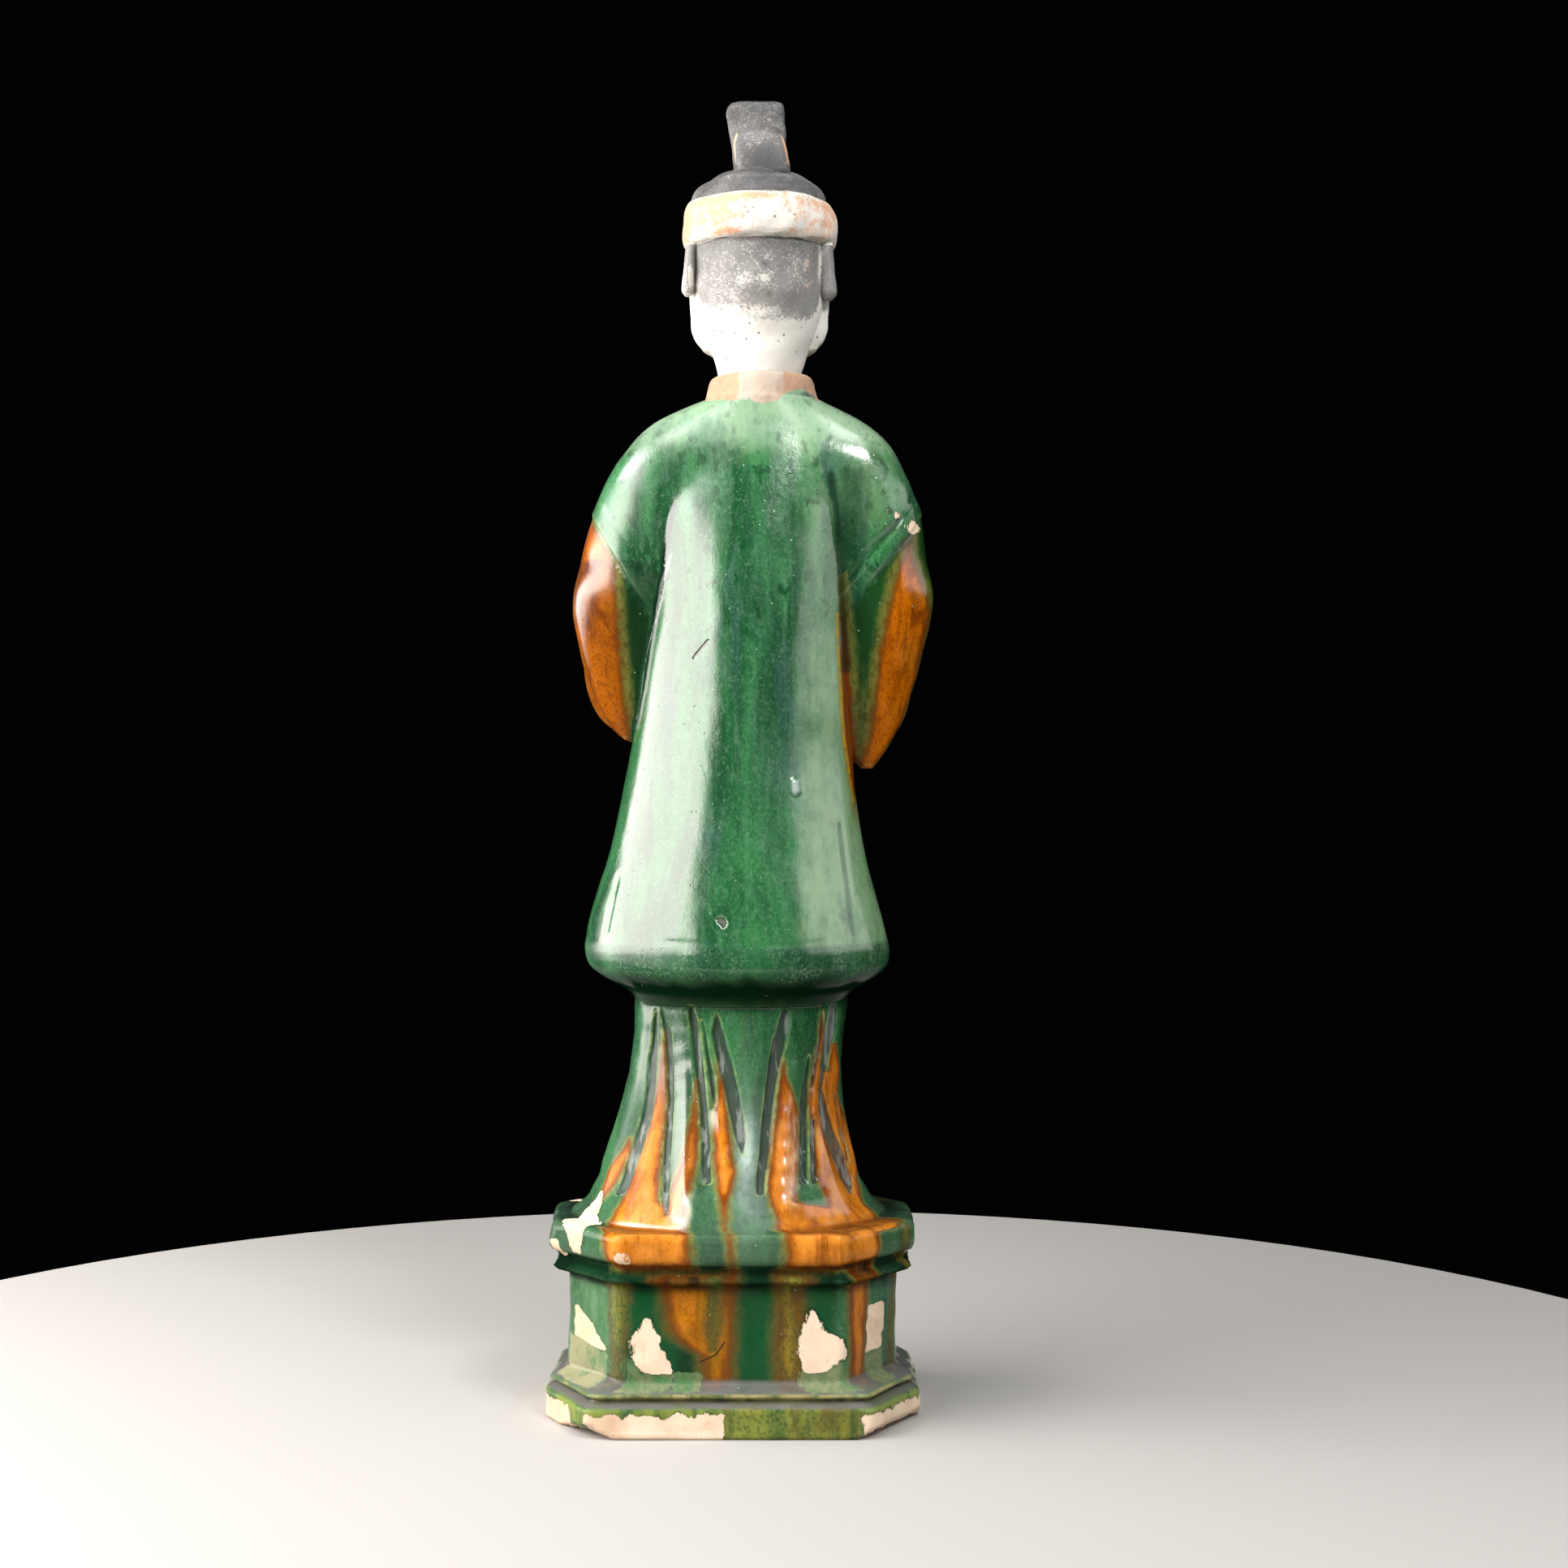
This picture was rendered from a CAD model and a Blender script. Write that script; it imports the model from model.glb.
import math

import bpy
import numpy as np
from mathutils import Matrix


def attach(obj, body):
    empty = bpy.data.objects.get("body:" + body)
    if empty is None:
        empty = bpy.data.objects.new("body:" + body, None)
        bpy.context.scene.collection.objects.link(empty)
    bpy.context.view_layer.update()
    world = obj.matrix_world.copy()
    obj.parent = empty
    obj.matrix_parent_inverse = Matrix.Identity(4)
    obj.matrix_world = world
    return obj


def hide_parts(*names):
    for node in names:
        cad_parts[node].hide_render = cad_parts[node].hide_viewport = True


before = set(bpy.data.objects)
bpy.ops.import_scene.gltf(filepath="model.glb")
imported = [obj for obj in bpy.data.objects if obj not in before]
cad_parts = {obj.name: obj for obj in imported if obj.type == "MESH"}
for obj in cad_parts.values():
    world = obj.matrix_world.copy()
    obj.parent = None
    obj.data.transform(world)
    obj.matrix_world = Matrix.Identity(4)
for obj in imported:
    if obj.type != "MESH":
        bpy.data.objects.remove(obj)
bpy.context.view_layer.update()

# The studio: a pale round floor in a dark room. A tall softbox stands close on the left of the camera, and
# its reflection is the broad pale stripe down the back of the coat. Dimmer panels fill from the right, from
# overhead, from above the softbox and from both upper sides.
CAMERA_PLACE = (-0.021, 1.011, 0.257)
CAMERA_LENS = 55.9  # millimetres, on a square picture 36 mm wide
FLOOR_RADIUS = 0.46
FLOOR_LEVEL = -0.0002
FLOOR_POINTS = 96
FLOOR_COLOUR = (0.36, 0.35, 0.335, 1)
FLOOR_ROUGHNESS = 0.8
ROOM_COLOUR = (0.0006, 0.0006, 0.0006, 1)
bpy.context.scene.view_settings.view_transform = "Standard"

camera = bpy.data.objects.new("camera", bpy.data.cameras.new("camera"))
camera.data.lens = CAMERA_LENS
camera.location = CAMERA_PLACE
camera.rotation_euler = (math.pi / 2, 0, math.pi)
bpy.context.collection.objects.link(camera)
bpy.context.scene.camera = camera

rim = np.linspace(0, 2 * math.pi, FLOOR_POINTS, endpoint=False)
disc = np.stack([
    FLOOR_RADIUS * np.cos(rim), FLOOR_RADIUS * np.sin(rim), np.full(FLOOR_POINTS, FLOOR_LEVEL)], axis=1)
floor_mesh = bpy.data.meshes.new("floor")
floor_mesh.from_pydata(disc.tolist(), [], [list(range(FLOOR_POINTS))])
floor = bpy.data.objects.new("floor", floor_mesh)
bpy.context.collection.objects.link(floor)
floor_paint = bpy.data.materials.new("pale_floor")
floor_paint.use_nodes = True
floor_shader = floor_paint.node_tree.nodes["Principled BSDF"]
floor_shader.inputs["Base Color"].default_value = FLOOR_COLOUR
floor_shader.inputs["Roughness"].default_value = FLOOR_ROUGHNESS
floor_mesh.materials.append(floor_paint)

room = bpy.data.worlds.new("dark_room")
room.use_nodes = True
room.node_tree.nodes["Background"].inputs["Color"].default_value = ROOM_COLOUR
bpy.context.scene.world = room


def panel_light(name, bearing, distance, height, width, tall, watts, aim=0.27, tint=(1, 1, 1), roll=0):
    """A rectangular lamp at a bearing in degrees from the camera's side, positive to the picture's left. It
    is turned to look at the figure's axis at the height of aim, and rolled about its own middle."""
    turn = math.radians(bearing)
    lamp = bpy.data.lights.new(name, "AREA")
    lamp.shape = "RECTANGLE"
    lamp.size = width
    lamp.size_y = tall
    lamp.energy = watts
    lamp.color = tint
    place = np.array([distance * math.sin(turn), distance * math.cos(turn), height])
    holder = bpy.data.objects.new(name, lamp)
    pitch = math.atan2(math.hypot(place[0], place[1]), height - aim)
    holder.matrix_world = (Matrix.Translation(place) @ Matrix.Rotation(math.pi - turn, 4, "Z")
                           @ Matrix.Rotation(pitch, 4, "X") @ Matrix.Rotation(math.radians(roll), 4, "Z"))
    bpy.context.collection.objects.link(holder)


# bearing, distance, height, width, height of the panel, watts, and for the softbox its aim, tint and roll
panel_light("softbox", 73, 0.72, 0.375, 1.42, 0.45, 17, 0.30, (1, 0.935, 0.90), 12)
panel_light("fill", -78, 1.1, 0.62, 1.5, 0.62, 4.2)
panel_light("overhead", -4, 0.42, 1.25, 1.0, 0.45, 7)
panel_light("upper_right", -29, 0.9, 1.0, 0.32, 0.18, 10)
panel_light("over_softbox", 52, 0.74, 0.78, 0.62, 0.30, 1.6)
panel_light("upper_left", 72, 0.8, 0.92, 0.8, 0.32, 11)

# The robed body: thrown and moulded in buff earthenware with the plinth under it, and fired once. Its coat,
# skirt, sleeves, hands, collar and plinth are worked out one by one and then fused into a single skin.
MM = 0.001  # metres
SLAB_TOP = 80.4
BODY_HEIGHT = 345.4
COLLAR_TOP = SLAB_TOP + BODY_HEIGHT
SHARE = BODY_HEIGHT / 100  # the robe's shapes are in hundredths of its height
BEHIND = 90  # degrees from +X round to the figure's back


def through(rows):
    """Smooth curves through rows of numbers, read at any value of their first column: a cubic from row to row
    whose slope at each row is the slope between its neighbours."""
    rows = np.array(rows, float)
    at, values = rows[:, 0], rows[:, 1:]
    slopes = np.gradient(values, at, axis=0)

    def read(where):
        where = np.clip(where, at[0], at[-1])
        i = np.clip(np.searchsorted(at, where) - 1, 0, len(at) - 2)
        step = (at[i + 1] - at[i])[..., None]
        t = (where - at[i])[..., None] / step
        return (
            (1 + 2 * t) * (1 - t) ** 2 * values[i]
            + t * (1 - t) ** 2 * step * slopes[i]
            + t**2 * (3 - 2 * t) * values[i + 1]
            + t**2 * (t - 1) * step * slopes[i + 1]
        )

    return read


def smooth(value, low, high):
    """0 below low, 1 above high, and an S-shaped rise between them."""
    t = np.clip((value - low) / (high - low), 0, 1)
    return t * t * (3 - 2 * t)


def between(value, starts, full, fades, ends):
    """1 from full to fades, 0 below starts and above ends, with an S-shaped rise and fall."""
    return smooth(value, starts, full) * (1 - smooth(value, fades, ends))


def bell(value, middle, width, power=2):
    """A bell curve: e to the minus of the distance from the middle over the width, raised to a power."""
    return np.exp(-(np.abs((value - middle) / width) ** power))


def mound(u, v, across, up, wide, tall, power=1.0):
    """A bell-shaped swelling, 1 at its middle; a higher power gives it a flatter top and a clearer edge."""
    return np.exp(-((((u - across) / wide) ** 2 + ((v - up) / tall) ** 2) ** power))


def lumps(points, size, seed):
    """Random soft swellings about `size` across, near -1 to 1: a sum of sine waves in random directions."""
    draw = np.random.default_rng(seed)
    waves = draw.normal(size=(3, 20))
    waves *= 2 * math.pi / size * draw.uniform(0.6, 1.5, 20) / np.linalg.norm(waves, axis=0)
    return np.sin(points @ waves + draw.uniform(0, 2 * math.pi, 20)).sum(axis=-1) / 5


def skinned(name, rings):
    """A closed mesh over rings of points (row, column, xyz): four-sided faces between neighbouring rings, and
    a fan from the middle of the first ring and of the last."""
    rows, columns, _ = rings.shape
    points = np.concatenate([rings.reshape(-1, 3), rings[0].mean(axis=0)[None], rings[-1].mean(axis=0)[None]])
    here = np.arange(rows * columns).reshape(rows, columns)
    beside = np.roll(here, -1, axis=1)
    sides = np.stack([here[:-1], beside[:-1], beside[1:], here[1:]], axis=-1).reshape(-1, 4)
    low = np.stack([np.full(columns, rows * columns), beside[0], here[0]], axis=-1)
    high = np.stack([np.full(columns, rows * columns + 1), here[-1], beside[-1]], axis=-1)
    mesh = bpy.data.meshes.new(name)
    mesh.from_pydata((points * MM).tolist(), [], sides.tolist() + low.tolist() + high.tolist())
    part = bpy.data.objects.new(name, mesh)
    bpy.context.collection.objects.link(part)
    return part


# Robe shapes: level, half width, lean to the side, depth behind, depth in front
skirt_shape = through([
    (0, 19.1, 0.6, 15.8, 14.6),
    (1, 17.5, 0.5, 15.1, 13.6),
    (4, 15.3, 0.5, 13.4, 12.6),
    (7, 14.5, 0.4, 12.3, 11.8),
    (11, 13.4, 0.2, 11, 11),
    (18.5, 12.5, -0.4, 9.8, 10.3),
    (25, 12.7, -0.9, 9.6, 10.6),
    (29, 12.9, -0.9, 9.5, 10.8),
])
coat_shape = through([
    (25, 12.2, -0.9, 10, 10.2),
    (26.8, 13.9, -0.9, 11.6, 11.9),
    (27.8, 15.8, -0.8, 13, 13.3),
    (29.1, 17.5, -0.6, 14.2, 14.3),
    (31.2, 18.2, -0.4, 14.5, 14.6),
    (33.2, 17.9, -0.3, 14.2, 14.3),
    (43, 15.3, -0.5, 12.4, 12.6),
    (53, 13.5, -0.9, 11.2, 11.6),
    (60, 12.9, -1.4, 10.95, 11.2),
    (67, 12.7, -1.8, 10.7, 10.7),
    (72, 12.75, -1.95, 10.45, 10.4),
    (77, 13.1, -2, 10.05, 10.1),
    (81, 13.7, -1.9, 9.6, 9.8),
    (84, 14.3, -2.0, 9.15, 9.5),
    (87.5, 14.8, -2.8, 8.5, 8.9),
    (90, 15.4, -3, 8.0, 8.5),
    (92, 15, -3.1, 7.65, 8.0),
    (94, 13.4, -3.1, 7.25, 7.5),
    (95.7, 10.8, -3, 6.95, 7.2),
    (97, 7.2, -3.4, 6.7, 6.8),
])


def robe_rings(shape, angle, level, proud=0.0):
    """Points of the robe: at each level an oval of its own depth behind and in front, moved out by proud."""
    half, lean, behind, front = np.moveaxis(shape(level) * SHARE, -1, 0)
    depth = np.where(np.sin(angle) > 0, behind, front)
    x = lean + (half + proud) * np.cos(angle)
    y = (depth + proud) * np.sin(angle)
    return np.stack([x, y, SLAB_TOP + level * SHARE + 0 * angle], axis=-1)


def round_and_up(columns, *levels):
    """The grid of angles and levels of a robe-like skin; a span of levels is its ends and their number."""
    angle = np.linspace(0, 2 * math.pi, columns, endpoint=False)
    return np.meshgrid(angle, np.concatenate([np.linspace(*span) for span in levels]))


# Pleats: shallow troughs down the skirt, each with its edges at some heights: height, and the turns of its
# right and left edge from the back's middle, in degrees towards the figure's left. The cloth between them
# swells a little. Out of sight, the front has a row of plain ones.
PLEATS = [
    [(91, 50, 57), (108, 46, 55), (124, 44.5, 53), (145, 48, 56), (164, 50, 53.5)],
    [(85, 23, 25.4), (91, 24.8, 28.9), (105.4, 27.6, 32.3), (117, 29.8, 34.9), (128, 31.6, 36.2),
     (140, 34.4, 39.9), (156, 38.4, 44.5), (165.4, 46.4, 47.7)],
    [(98.6, 6.9, 11.5), (113.8, 9, 13.9), (125.4, 12, 16.5), (137, 15.2, 20.4), (148.7, 18.7, 24.4),
     (162.1, 22.7, 28), (168, 25.8, 28)],
    [(128.6, 7.6, 10), (137, 10, 13), (149, 14.6, 17.2), (162, 19, 20.6)],
    [(109, -7.5, -6), (116.3, -8.9, -2.4), (125.6, -6, 1.4), (135, -2.7, 5), (145, 1.5, 9.9),
     (157, 7.6, 14.8), (165, 11.6, 12.8)],
    [(94, -16.7, -12.6), (101, -17.8, -12.8), (110, -20.4, -14.6), (121.5, -21.9, -15.9), (133, -23.3, -17),
     (142.5, -25.1, -17.9), (153.6, -27.6, -19.1), (162.3, -28.5, -22), (166.4, -26.2, -23.3)],
    [(96.9, -38.9, -33.6), (105.2, -39.7, -34.7), (116.8, -42.4, -37.1), (127.7, -44, -37.8),
     (147, -44, -42.5)],
    [(96.6, -44.7, -40.5), (108.7, -46.9, -42), (121, -49.4, -45)],
    [(133.7, -48.1, -44.6), (145.4, -51.5, -48), (155.7, -52.1, -49.2), (167, -50.1, -48.6)],
    [(90.3, -68, -64.4), (95.2, -74.8, -62.4), (106, -70.7, -57.2), (115.6, -65.5, -54),
     (123.7, -61.1, -51.9), (133.3, -55.7, -52), (145, -61.5, -54.2), (155.5, -66.4, -54), (167, -64.3, -56)],
    [(102.5, -77, -72), (114.6, -76, -71), (130, -73.3, -69)],
    *[[(96, at - 2.5, at + 2.5), (130, at - 3.5, at + 3.5), (160, at - 2.5, at + 2.5), (168, at - 1, at + 1)]
      for at in range(96, 268, 19)],
]
PLEAT_DEPTH = 1.1
PLEAT_LIP = 0.22
SWELL = 2.0
SKIRT_RADIUS = 46  # of the circles on which degrees are measured off in millimetres
BACK_RADIUS = 48
# Blobs of glaze beside the pleats: turn, height
BLOBS = [(-24.5, 90.5), (-25, 97.5), (-26, 104.5), (-26.5, 111.5), (-27.5, 118), (-28, 124), (2, 107)]
BLOB_SIZE = 3.2
DEGREE = 0.8  # millimetres round the skirt at a blob
BLOB_HEIGHT = 1.0


def reach(runs, turn, z, radius=BACK_RADIUS):
    """For every point, how far it lies inside the nearest run, in millimetres; negative outside. A run is a
    streak down the figure whose two edges are joined from height to height by straight lines."""
    best = np.full(np.shape(z), -20.0)
    for run in runs:
        heights, right, left = np.array(run, float).T
        middle = np.interp(z, heights, (left + right) / 2)
        half = np.interp(z, heights, (left - right) / 2)
        past = np.maximum(0, np.maximum(heights[0] - z, z - heights[-1]))
        across = np.abs((turn - middle + 180) % 360 - 180) - half
        best = np.maximum(best, -np.hypot(np.maximum(across, 0) * radius * math.radians(1), past)
                          + np.maximum(-across, 0) * radius * math.radians(1) * (past == 0))
    return best


def pleat_relief(turn, z):
    """The trough is a smooth step down, its lip a narrow bell curve, and the cloth swells away from it."""
    inside = reach(PLEATS, turn, z, SKIRT_RADIUS)
    outside = np.maximum(0, -inside)
    swell = SWELL * (1 - bell(outside, 0, 4.2, 1.6)) * between(z, 78, 92, 104, 168)
    return PLEAT_LIP * bell(inside, -0.5, 0.6) - PLEAT_DEPTH * smooth(inside, -0.4, 1.1) + swell


skirt_angle, skirt_level = round_and_up(400, (-1, 3, 10), (3.3, 28.5, 64))
skirt_turn = BEHIND - np.degrees(skirt_angle)
skirt_z = SLAB_TOP + skirt_level * SHARE
skirt_relief = pleat_relief(skirt_turn, skirt_z)
skirt_relief += 0.12 * lumps(robe_rings(skirt_shape, skirt_angle, skirt_level), 11, 2)
for blob_turn, blob_z in BLOBS:
    from_blob = np.hypot((skirt_turn - blob_turn) * DEGREE, skirt_z - blob_z)
    skirt_relief += BLOB_HEIGHT * bell(from_blob, 0, BLOB_SIZE)
skirt = skinned("skirt", robe_rings(skirt_shape, skirt_angle, skirt_level, skirt_relief))

coat_angle, coat_level = round_and_up(230, (25.2, 34, 34), (34.8, 84, 78), (84.5, 97, 30))
coat_sides = robe_rings(coat_shape, coat_angle, coat_level)


def from_line(x, z, line):
    """Distance of points from a line drawn through a few places on the figure's back, across and up."""
    nearest = np.full(np.shape(x), 99.0)
    for (x0, z0), (x1, z1) in zip(line[:-1], line[1:]):
        length = math.hypot(x1 - x0, z1 - z0)
        along = np.clip(((x - x0) * (x1 - x0) + (z - z0) * (z1 - z0)) / length**2, 0, 1)
        nearest = np.minimum(nearest, np.hypot(x - x0 - along * (x1 - x0), z - z0 - along * (z1 - z0)))
    return nearest


# Marks on the back of the coat: across, up, in millimetres
LEFT_FOLD = [(47, 219), (51, 197)]
RIGHT_FOLD = [(-43.5, 241), (-46.5, 218), (-49, 196)]
HEM_CREASE = [(26, 194), (0, 192.5), (-36, 193.5)]
GOUGE = [(14, 309), (11, 313)]
# mark, depth, half width
COAT_MARKS = [(LEFT_FOLD, 0.7, 0.9), (RIGHT_FOLD, 0.8, 0.8), (HEM_CREASE, 0.2, 1.4), (GOUGE, 0.9, 0.9)]


def coat_relief(points):
    """Soft unevenness of the hand-pressed coat, less a bell-shaped groove along each mark on its back."""
    x, y, z = np.moveaxis(points, -1, 0)
    relief = 0.35 * lumps(points, 60, 3) + 0.07 * lumps(points, 16, 4)
    for mark, depth, width in COAT_MARKS:
        relief -= depth * (y > 5) * bell(from_line(x, z, mark), 0, width)
    return relief


coat = skinned("coat", robe_rings(coat_shape, coat_angle, coat_level, coat_relief(coat_sides)))

# Lapels: the coat's two front edges come down from the collar, nearly meet on the breast and run to the hem.
LAPEL = {"half_width": 5, "proud": 1.8, "gap": 7, "neck_spread": 38, "hem": 30, "closes_at": 80, "neck": 95}


def lapel(side):
    """A low rounded band on the coat: its path is a turn that opens towards the neck, its section an arch."""
    level = np.concatenate([
        np.linspace(LAPEL["hem"], LAPEL["closes_at"], 60),
        np.linspace(LAPEL["closes_at"] + 0.6, LAPEL["neck"], 30),
    ])
    opening = np.maximum(0, level - LAPEL["closes_at"]) / (LAPEL["neck"] - LAPEL["closes_at"])
    middle = np.radians(270 + side * (LAPEL["gap"] + (LAPEL["neck_spread"] - LAPEL["gap"]) * opening))
    across = np.linspace(-1, 1, 13)
    arch = LAPEL["proud"] * (1 - across**4) - 0.4
    half = LAPEL["half_width"] / (coat_shape(level)[:, 0] * SHARE)
    angle = middle[:, None] + half[:, None] * across
    outer = robe_rings(coat_shape, angle, level[:, None] + 0 * angle, arch + 0 * angle)
    inner = robe_rings(coat_shape, angle[:, ::-1], level[:, None] + 0 * angle, -2.0)
    return skinned("lapel", np.concatenate([outer, inner], axis=1))


lapels = [lapel(-1), lapel(1)]

# Sleeves: level ovals from the tip of the hanging sleeve up to the shoulder. The short sleeve of the coat
# lies over them, a little thicker, and ends at a slanting hem.
# level, outer edge, inner edge, middle in depth, half depth
left_arm = through([
    (56.4, 13.2, 12, -0.2, 1.1), (58, 14.7, 10.5, -0.9, 2.4), (60.5, 16.3, 8.5, -1.15, 3.5),
    (64.5, 17.8, 6.7, -1, 4.2), (68.5, 18.75, 4.9, -0.65, 5.2), (72, 19.1, 3.7, -0.25, 6),
    (75, 19, 2.7, -0.05, 6.35), (78, 18.3, 1.5, 0, 6.45), (84, 16.4, 0.3, 0.1, 6.8),
    (88, 14.8, -0.5, 0.2, 7.2), (91.5, 12.4, -1, 0.1, 6.9), (93.6, 10.4, 0, -0.2, 6),
    (95.3, 7.5, 1.5, -0.6, 4.1),
])
right_arm = through([
    (53, -16.8, -15.4, -0.2, 1.1), (55, -18.3, -13, -0.8, 2.4), (57.5, -19.6, -10.4, -1, 3.5),
    (61, -21.1, -9.1, -0.9, 4.7), (65, -22.3, -7.8, -0.6, 5.4), (69, -23.2, -6.6, -0.3, 5.8),
    (73, -24.0, -5.9, -0.1, 6.1), (78, -23.2, -5.6, 0, 6.4), (84, -22.2, -5.8, 0.1, 6.9),
    (88, -20.7, -5, 0.2, 7.2), (91.5, -18.9, -4.5, 0.1, 6.9), (93.6, -16.9, -5, -0.2, 6),
    (95.4, -13.8, -7, -0.6, 4.1),
])
SQUARENESS = 0.76  # 1 is an oval, less is squarer
LEFT_HEM = {"across": 13.5, "level": 77.6, "rise": 1.6, "forward": 0.14}
RIGHT_HEM = {"across": -17.5, "level": 76.8, "rise": -1.19, "forward": 0.14}


def squared(angle, corner):
    """Cosine and sine of an angle, each raised to a power and keeping its sign: a circle made squarer."""
    return [np.sign(wave) * np.abs(wave) ** corner for wave in (np.cos(angle), np.sin(angle))]


def arm_rings(shape, angle, level, proud=0.0):
    """Points of a sleeve: at each level an oval with slightly squared corners, moved out by proud."""
    outer, inner, middle_y, depth = np.moveaxis(shape(level) * SHARE, -1, 0)
    across, deep = squared(angle, SQUARENESS)
    x = (outer + inner) / 2 + (np.abs(outer - inner) / 2 + proud) * across
    y = middle_y + (depth + proud) * deep
    return np.stack([x, y, SLAB_TOP + level * SHARE], axis=-1)


def hem_level(hem, x, y):
    """The level of the short sleeve's slanting hem over a place: it rises outwards and to the front."""
    return hem["level"] + hem["rise"] * (x / SHARE - hem["across"]) - hem["forward"] * y / SHARE


def sleeve(name, shape, tip):
    """The long sleeve: soft folds run round it above the elbow."""
    angle, level = round_and_up(96, (tip, tip + 5, 16), (tip + 5.6, 95.2, 70))
    points = arm_rings(shape, angle, level)
    return skinned(name, arm_rings(shape, angle, level, 0.35 * lumps(points, 22, 5)))


def short_sleeve(name, shape, hem, crease):
    """The short sleeve: each column starts at the hem's plane, found by stepping, and rises to the shoulder.
    Its lower edge is turned in, and a second low step shows a hand's breadth above it."""
    angle, rise = np.meshgrid(np.linspace(0, 2 * math.pi, 96, endpoint=False), np.linspace(0, 1, 60) ** 1.15)
    start = np.full(96, float(hem["level"]))
    for _ in range(30):
        edge = arm_rings(shape, angle[0], start, 1.0)
        start += 0.35 * (hem_level(hem, edge[:, 0], edge[:, 1]) - start)
    level = start + (94.5 - start) * rise
    lift = 0.8 * smooth(rise, -0.01, 0.05) - 0.7 * (1 - smooth(rise, 0, 0.02))
    above = (level - start) * SHARE
    lift -= crease * bell(above, 10.5, 1.3) * (np.sin(angle) > 0.1)
    lift += 0.3 * lumps(arm_rings(shape, angle, level), 20, 6)
    return skinned(name, arm_rings(shape, angle, level, lift))


# share of the way, across, depth, level, half thickness, half height
left_forearm = through([
    (0, 13.8, -1.8, 66.4, 3.6, 6.4), (1, 14, -4.4, 65.8, 4.3, 8), (2, 12.2, -8.4, 64.4, 3.9, 8),
    (3, 7.4, -11.6, 63.8, 3.6, 7.2), (4, 2.6, -12.7, 64.4, 3.4, 6.4),
])
right_forearm = through([
    (0, -17.4, -1.8, 64.8, 3.8, 7.2), (1, -17.2, -4.4, 64.4, 4.4, 8.8), (2, -14.6, -8.4, 63.8, 3.9, 8.4),
    (3, -10, -11.6, 63.6, 3.6, 7.4), (4, -5.6, -12.9, 64.2, 3.4, 6.6),
])


def forearm(name, shape, seed):
    """The sleeve round the forearm: upright ovals along a path that bends to the front, with a thicker cuff
    and hanging folds that slant back from the wrist."""
    angle, along = np.meshgrid(np.linspace(0, 2 * math.pi, 84, endpoint=False), np.linspace(0, 4, 64))
    x, y, level, thick, tall = np.moveaxis(shape(along) * SHARE, -1, 0)
    heading = np.arctan2(np.gradient(y, axis=0), np.gradient(x, axis=0))
    fold = 0.8 * np.sin(along * 5.2 + 2.4 * np.sin(angle) + seed) * smooth(along, 0.5, 1.4)
    grown = 1.2 * smooth(along, 3.62, 3.7) + fold * (1 - smooth(along, 3.5, 3.65))
    side = (thick + grown) * np.cos(angle)
    rings = np.stack([
        x - side * np.sin(heading),
        y + side * np.cos(heading),
        SLAB_TOP + level + (tall + grown) * np.sin(angle),
    ], axis=-1)
    return skinned(name, rings)


sleeves = [
    sleeve("left_sleeve", left_arm, 56.4),
    sleeve("right_sleeve", right_arm, 53),
    short_sleeve("left_short_sleeve", left_arm, LEFT_HEM, 0.1),
    short_sleeve("right_short_sleeve", right_arm, RIGHT_HEM, 0.7),
    forearm("left_forearm", left_forearm, 0),
    forearm("right_forearm", right_forearm, 2),
]

# Hands: one closed over the other before the waist, a rounded back with four fingers laid side by side.
# The photograph doesn't show them, so they are kept plain.
HAND_MIDDLE = np.array([-1.5, -12.7, 65.2])
HAND_SIZE = np.array([4.6, 2.9, 3.6])
FINGER_SIZE = np.array([3.2, 1.0, 1.0])
FINGER_STEP = 1.6
FINGER_TILT = math.radians(-16)


def pebble(name, middle, size, tilt=0.0, columns=48):
    """An ellipsoid, turned about Y by tilt: circles of latitude scaled to its three half sizes."""
    around = np.linspace(0, 2 * math.pi, columns, endpoint=False)
    angle, rise = np.meshgrid(around, np.linspace(-0.49, 0.49, columns // 2) * math.pi)
    ball = np.stack([np.cos(rise) * np.cos(angle), np.cos(rise) * np.sin(angle), np.sin(rise)], axis=-1)
    x, y, z = np.moveaxis(ball * size, -1, 0)
    turned = np.stack([
        x * math.cos(tilt) + z * math.sin(tilt), y, z * math.cos(tilt) - x * math.sin(tilt)], axis=-1)
    return skinned(name, turned + middle)


def at_body(share):
    """A place given in hundredths of the robe's height, in millimetres."""
    return np.asarray(share) * SHARE + np.array([0, 0, SLAB_TOP])


hands = [pebble("hands", at_body(HAND_MIDDLE), HAND_SIZE * SHARE)]
for place in (1.5, 0.5, -0.5, -1.5):
    forward = 0.5 * FINGER_SIZE[1] - HAND_SIZE[1]
    knuckle = HAND_MIDDLE + np.array([0, forward, place * FINGER_STEP * FINGER_SIZE[2]])
    hands.append(pebble("finger", at_body(knuckle), FINGER_SIZE * SHARE, FINGER_TILT, 24))

# The plinth: a stack of mouldings, each an oblong with canted corners. Its lower edge is worn away at the
# corners and knocked on the right, and small chips are gone from the slab.
# half width, half depth, cant across, cant in depth
BASE = (76.5, 58, 19, 36)
RIDGE = (74.5, 56, 19, 35)
WAIST = (67.5, 50, 22, 32)
BEAD = (73.5, 55, 26, 34)
SLAB = (75.5, 56.5, 30, 35)
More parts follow.
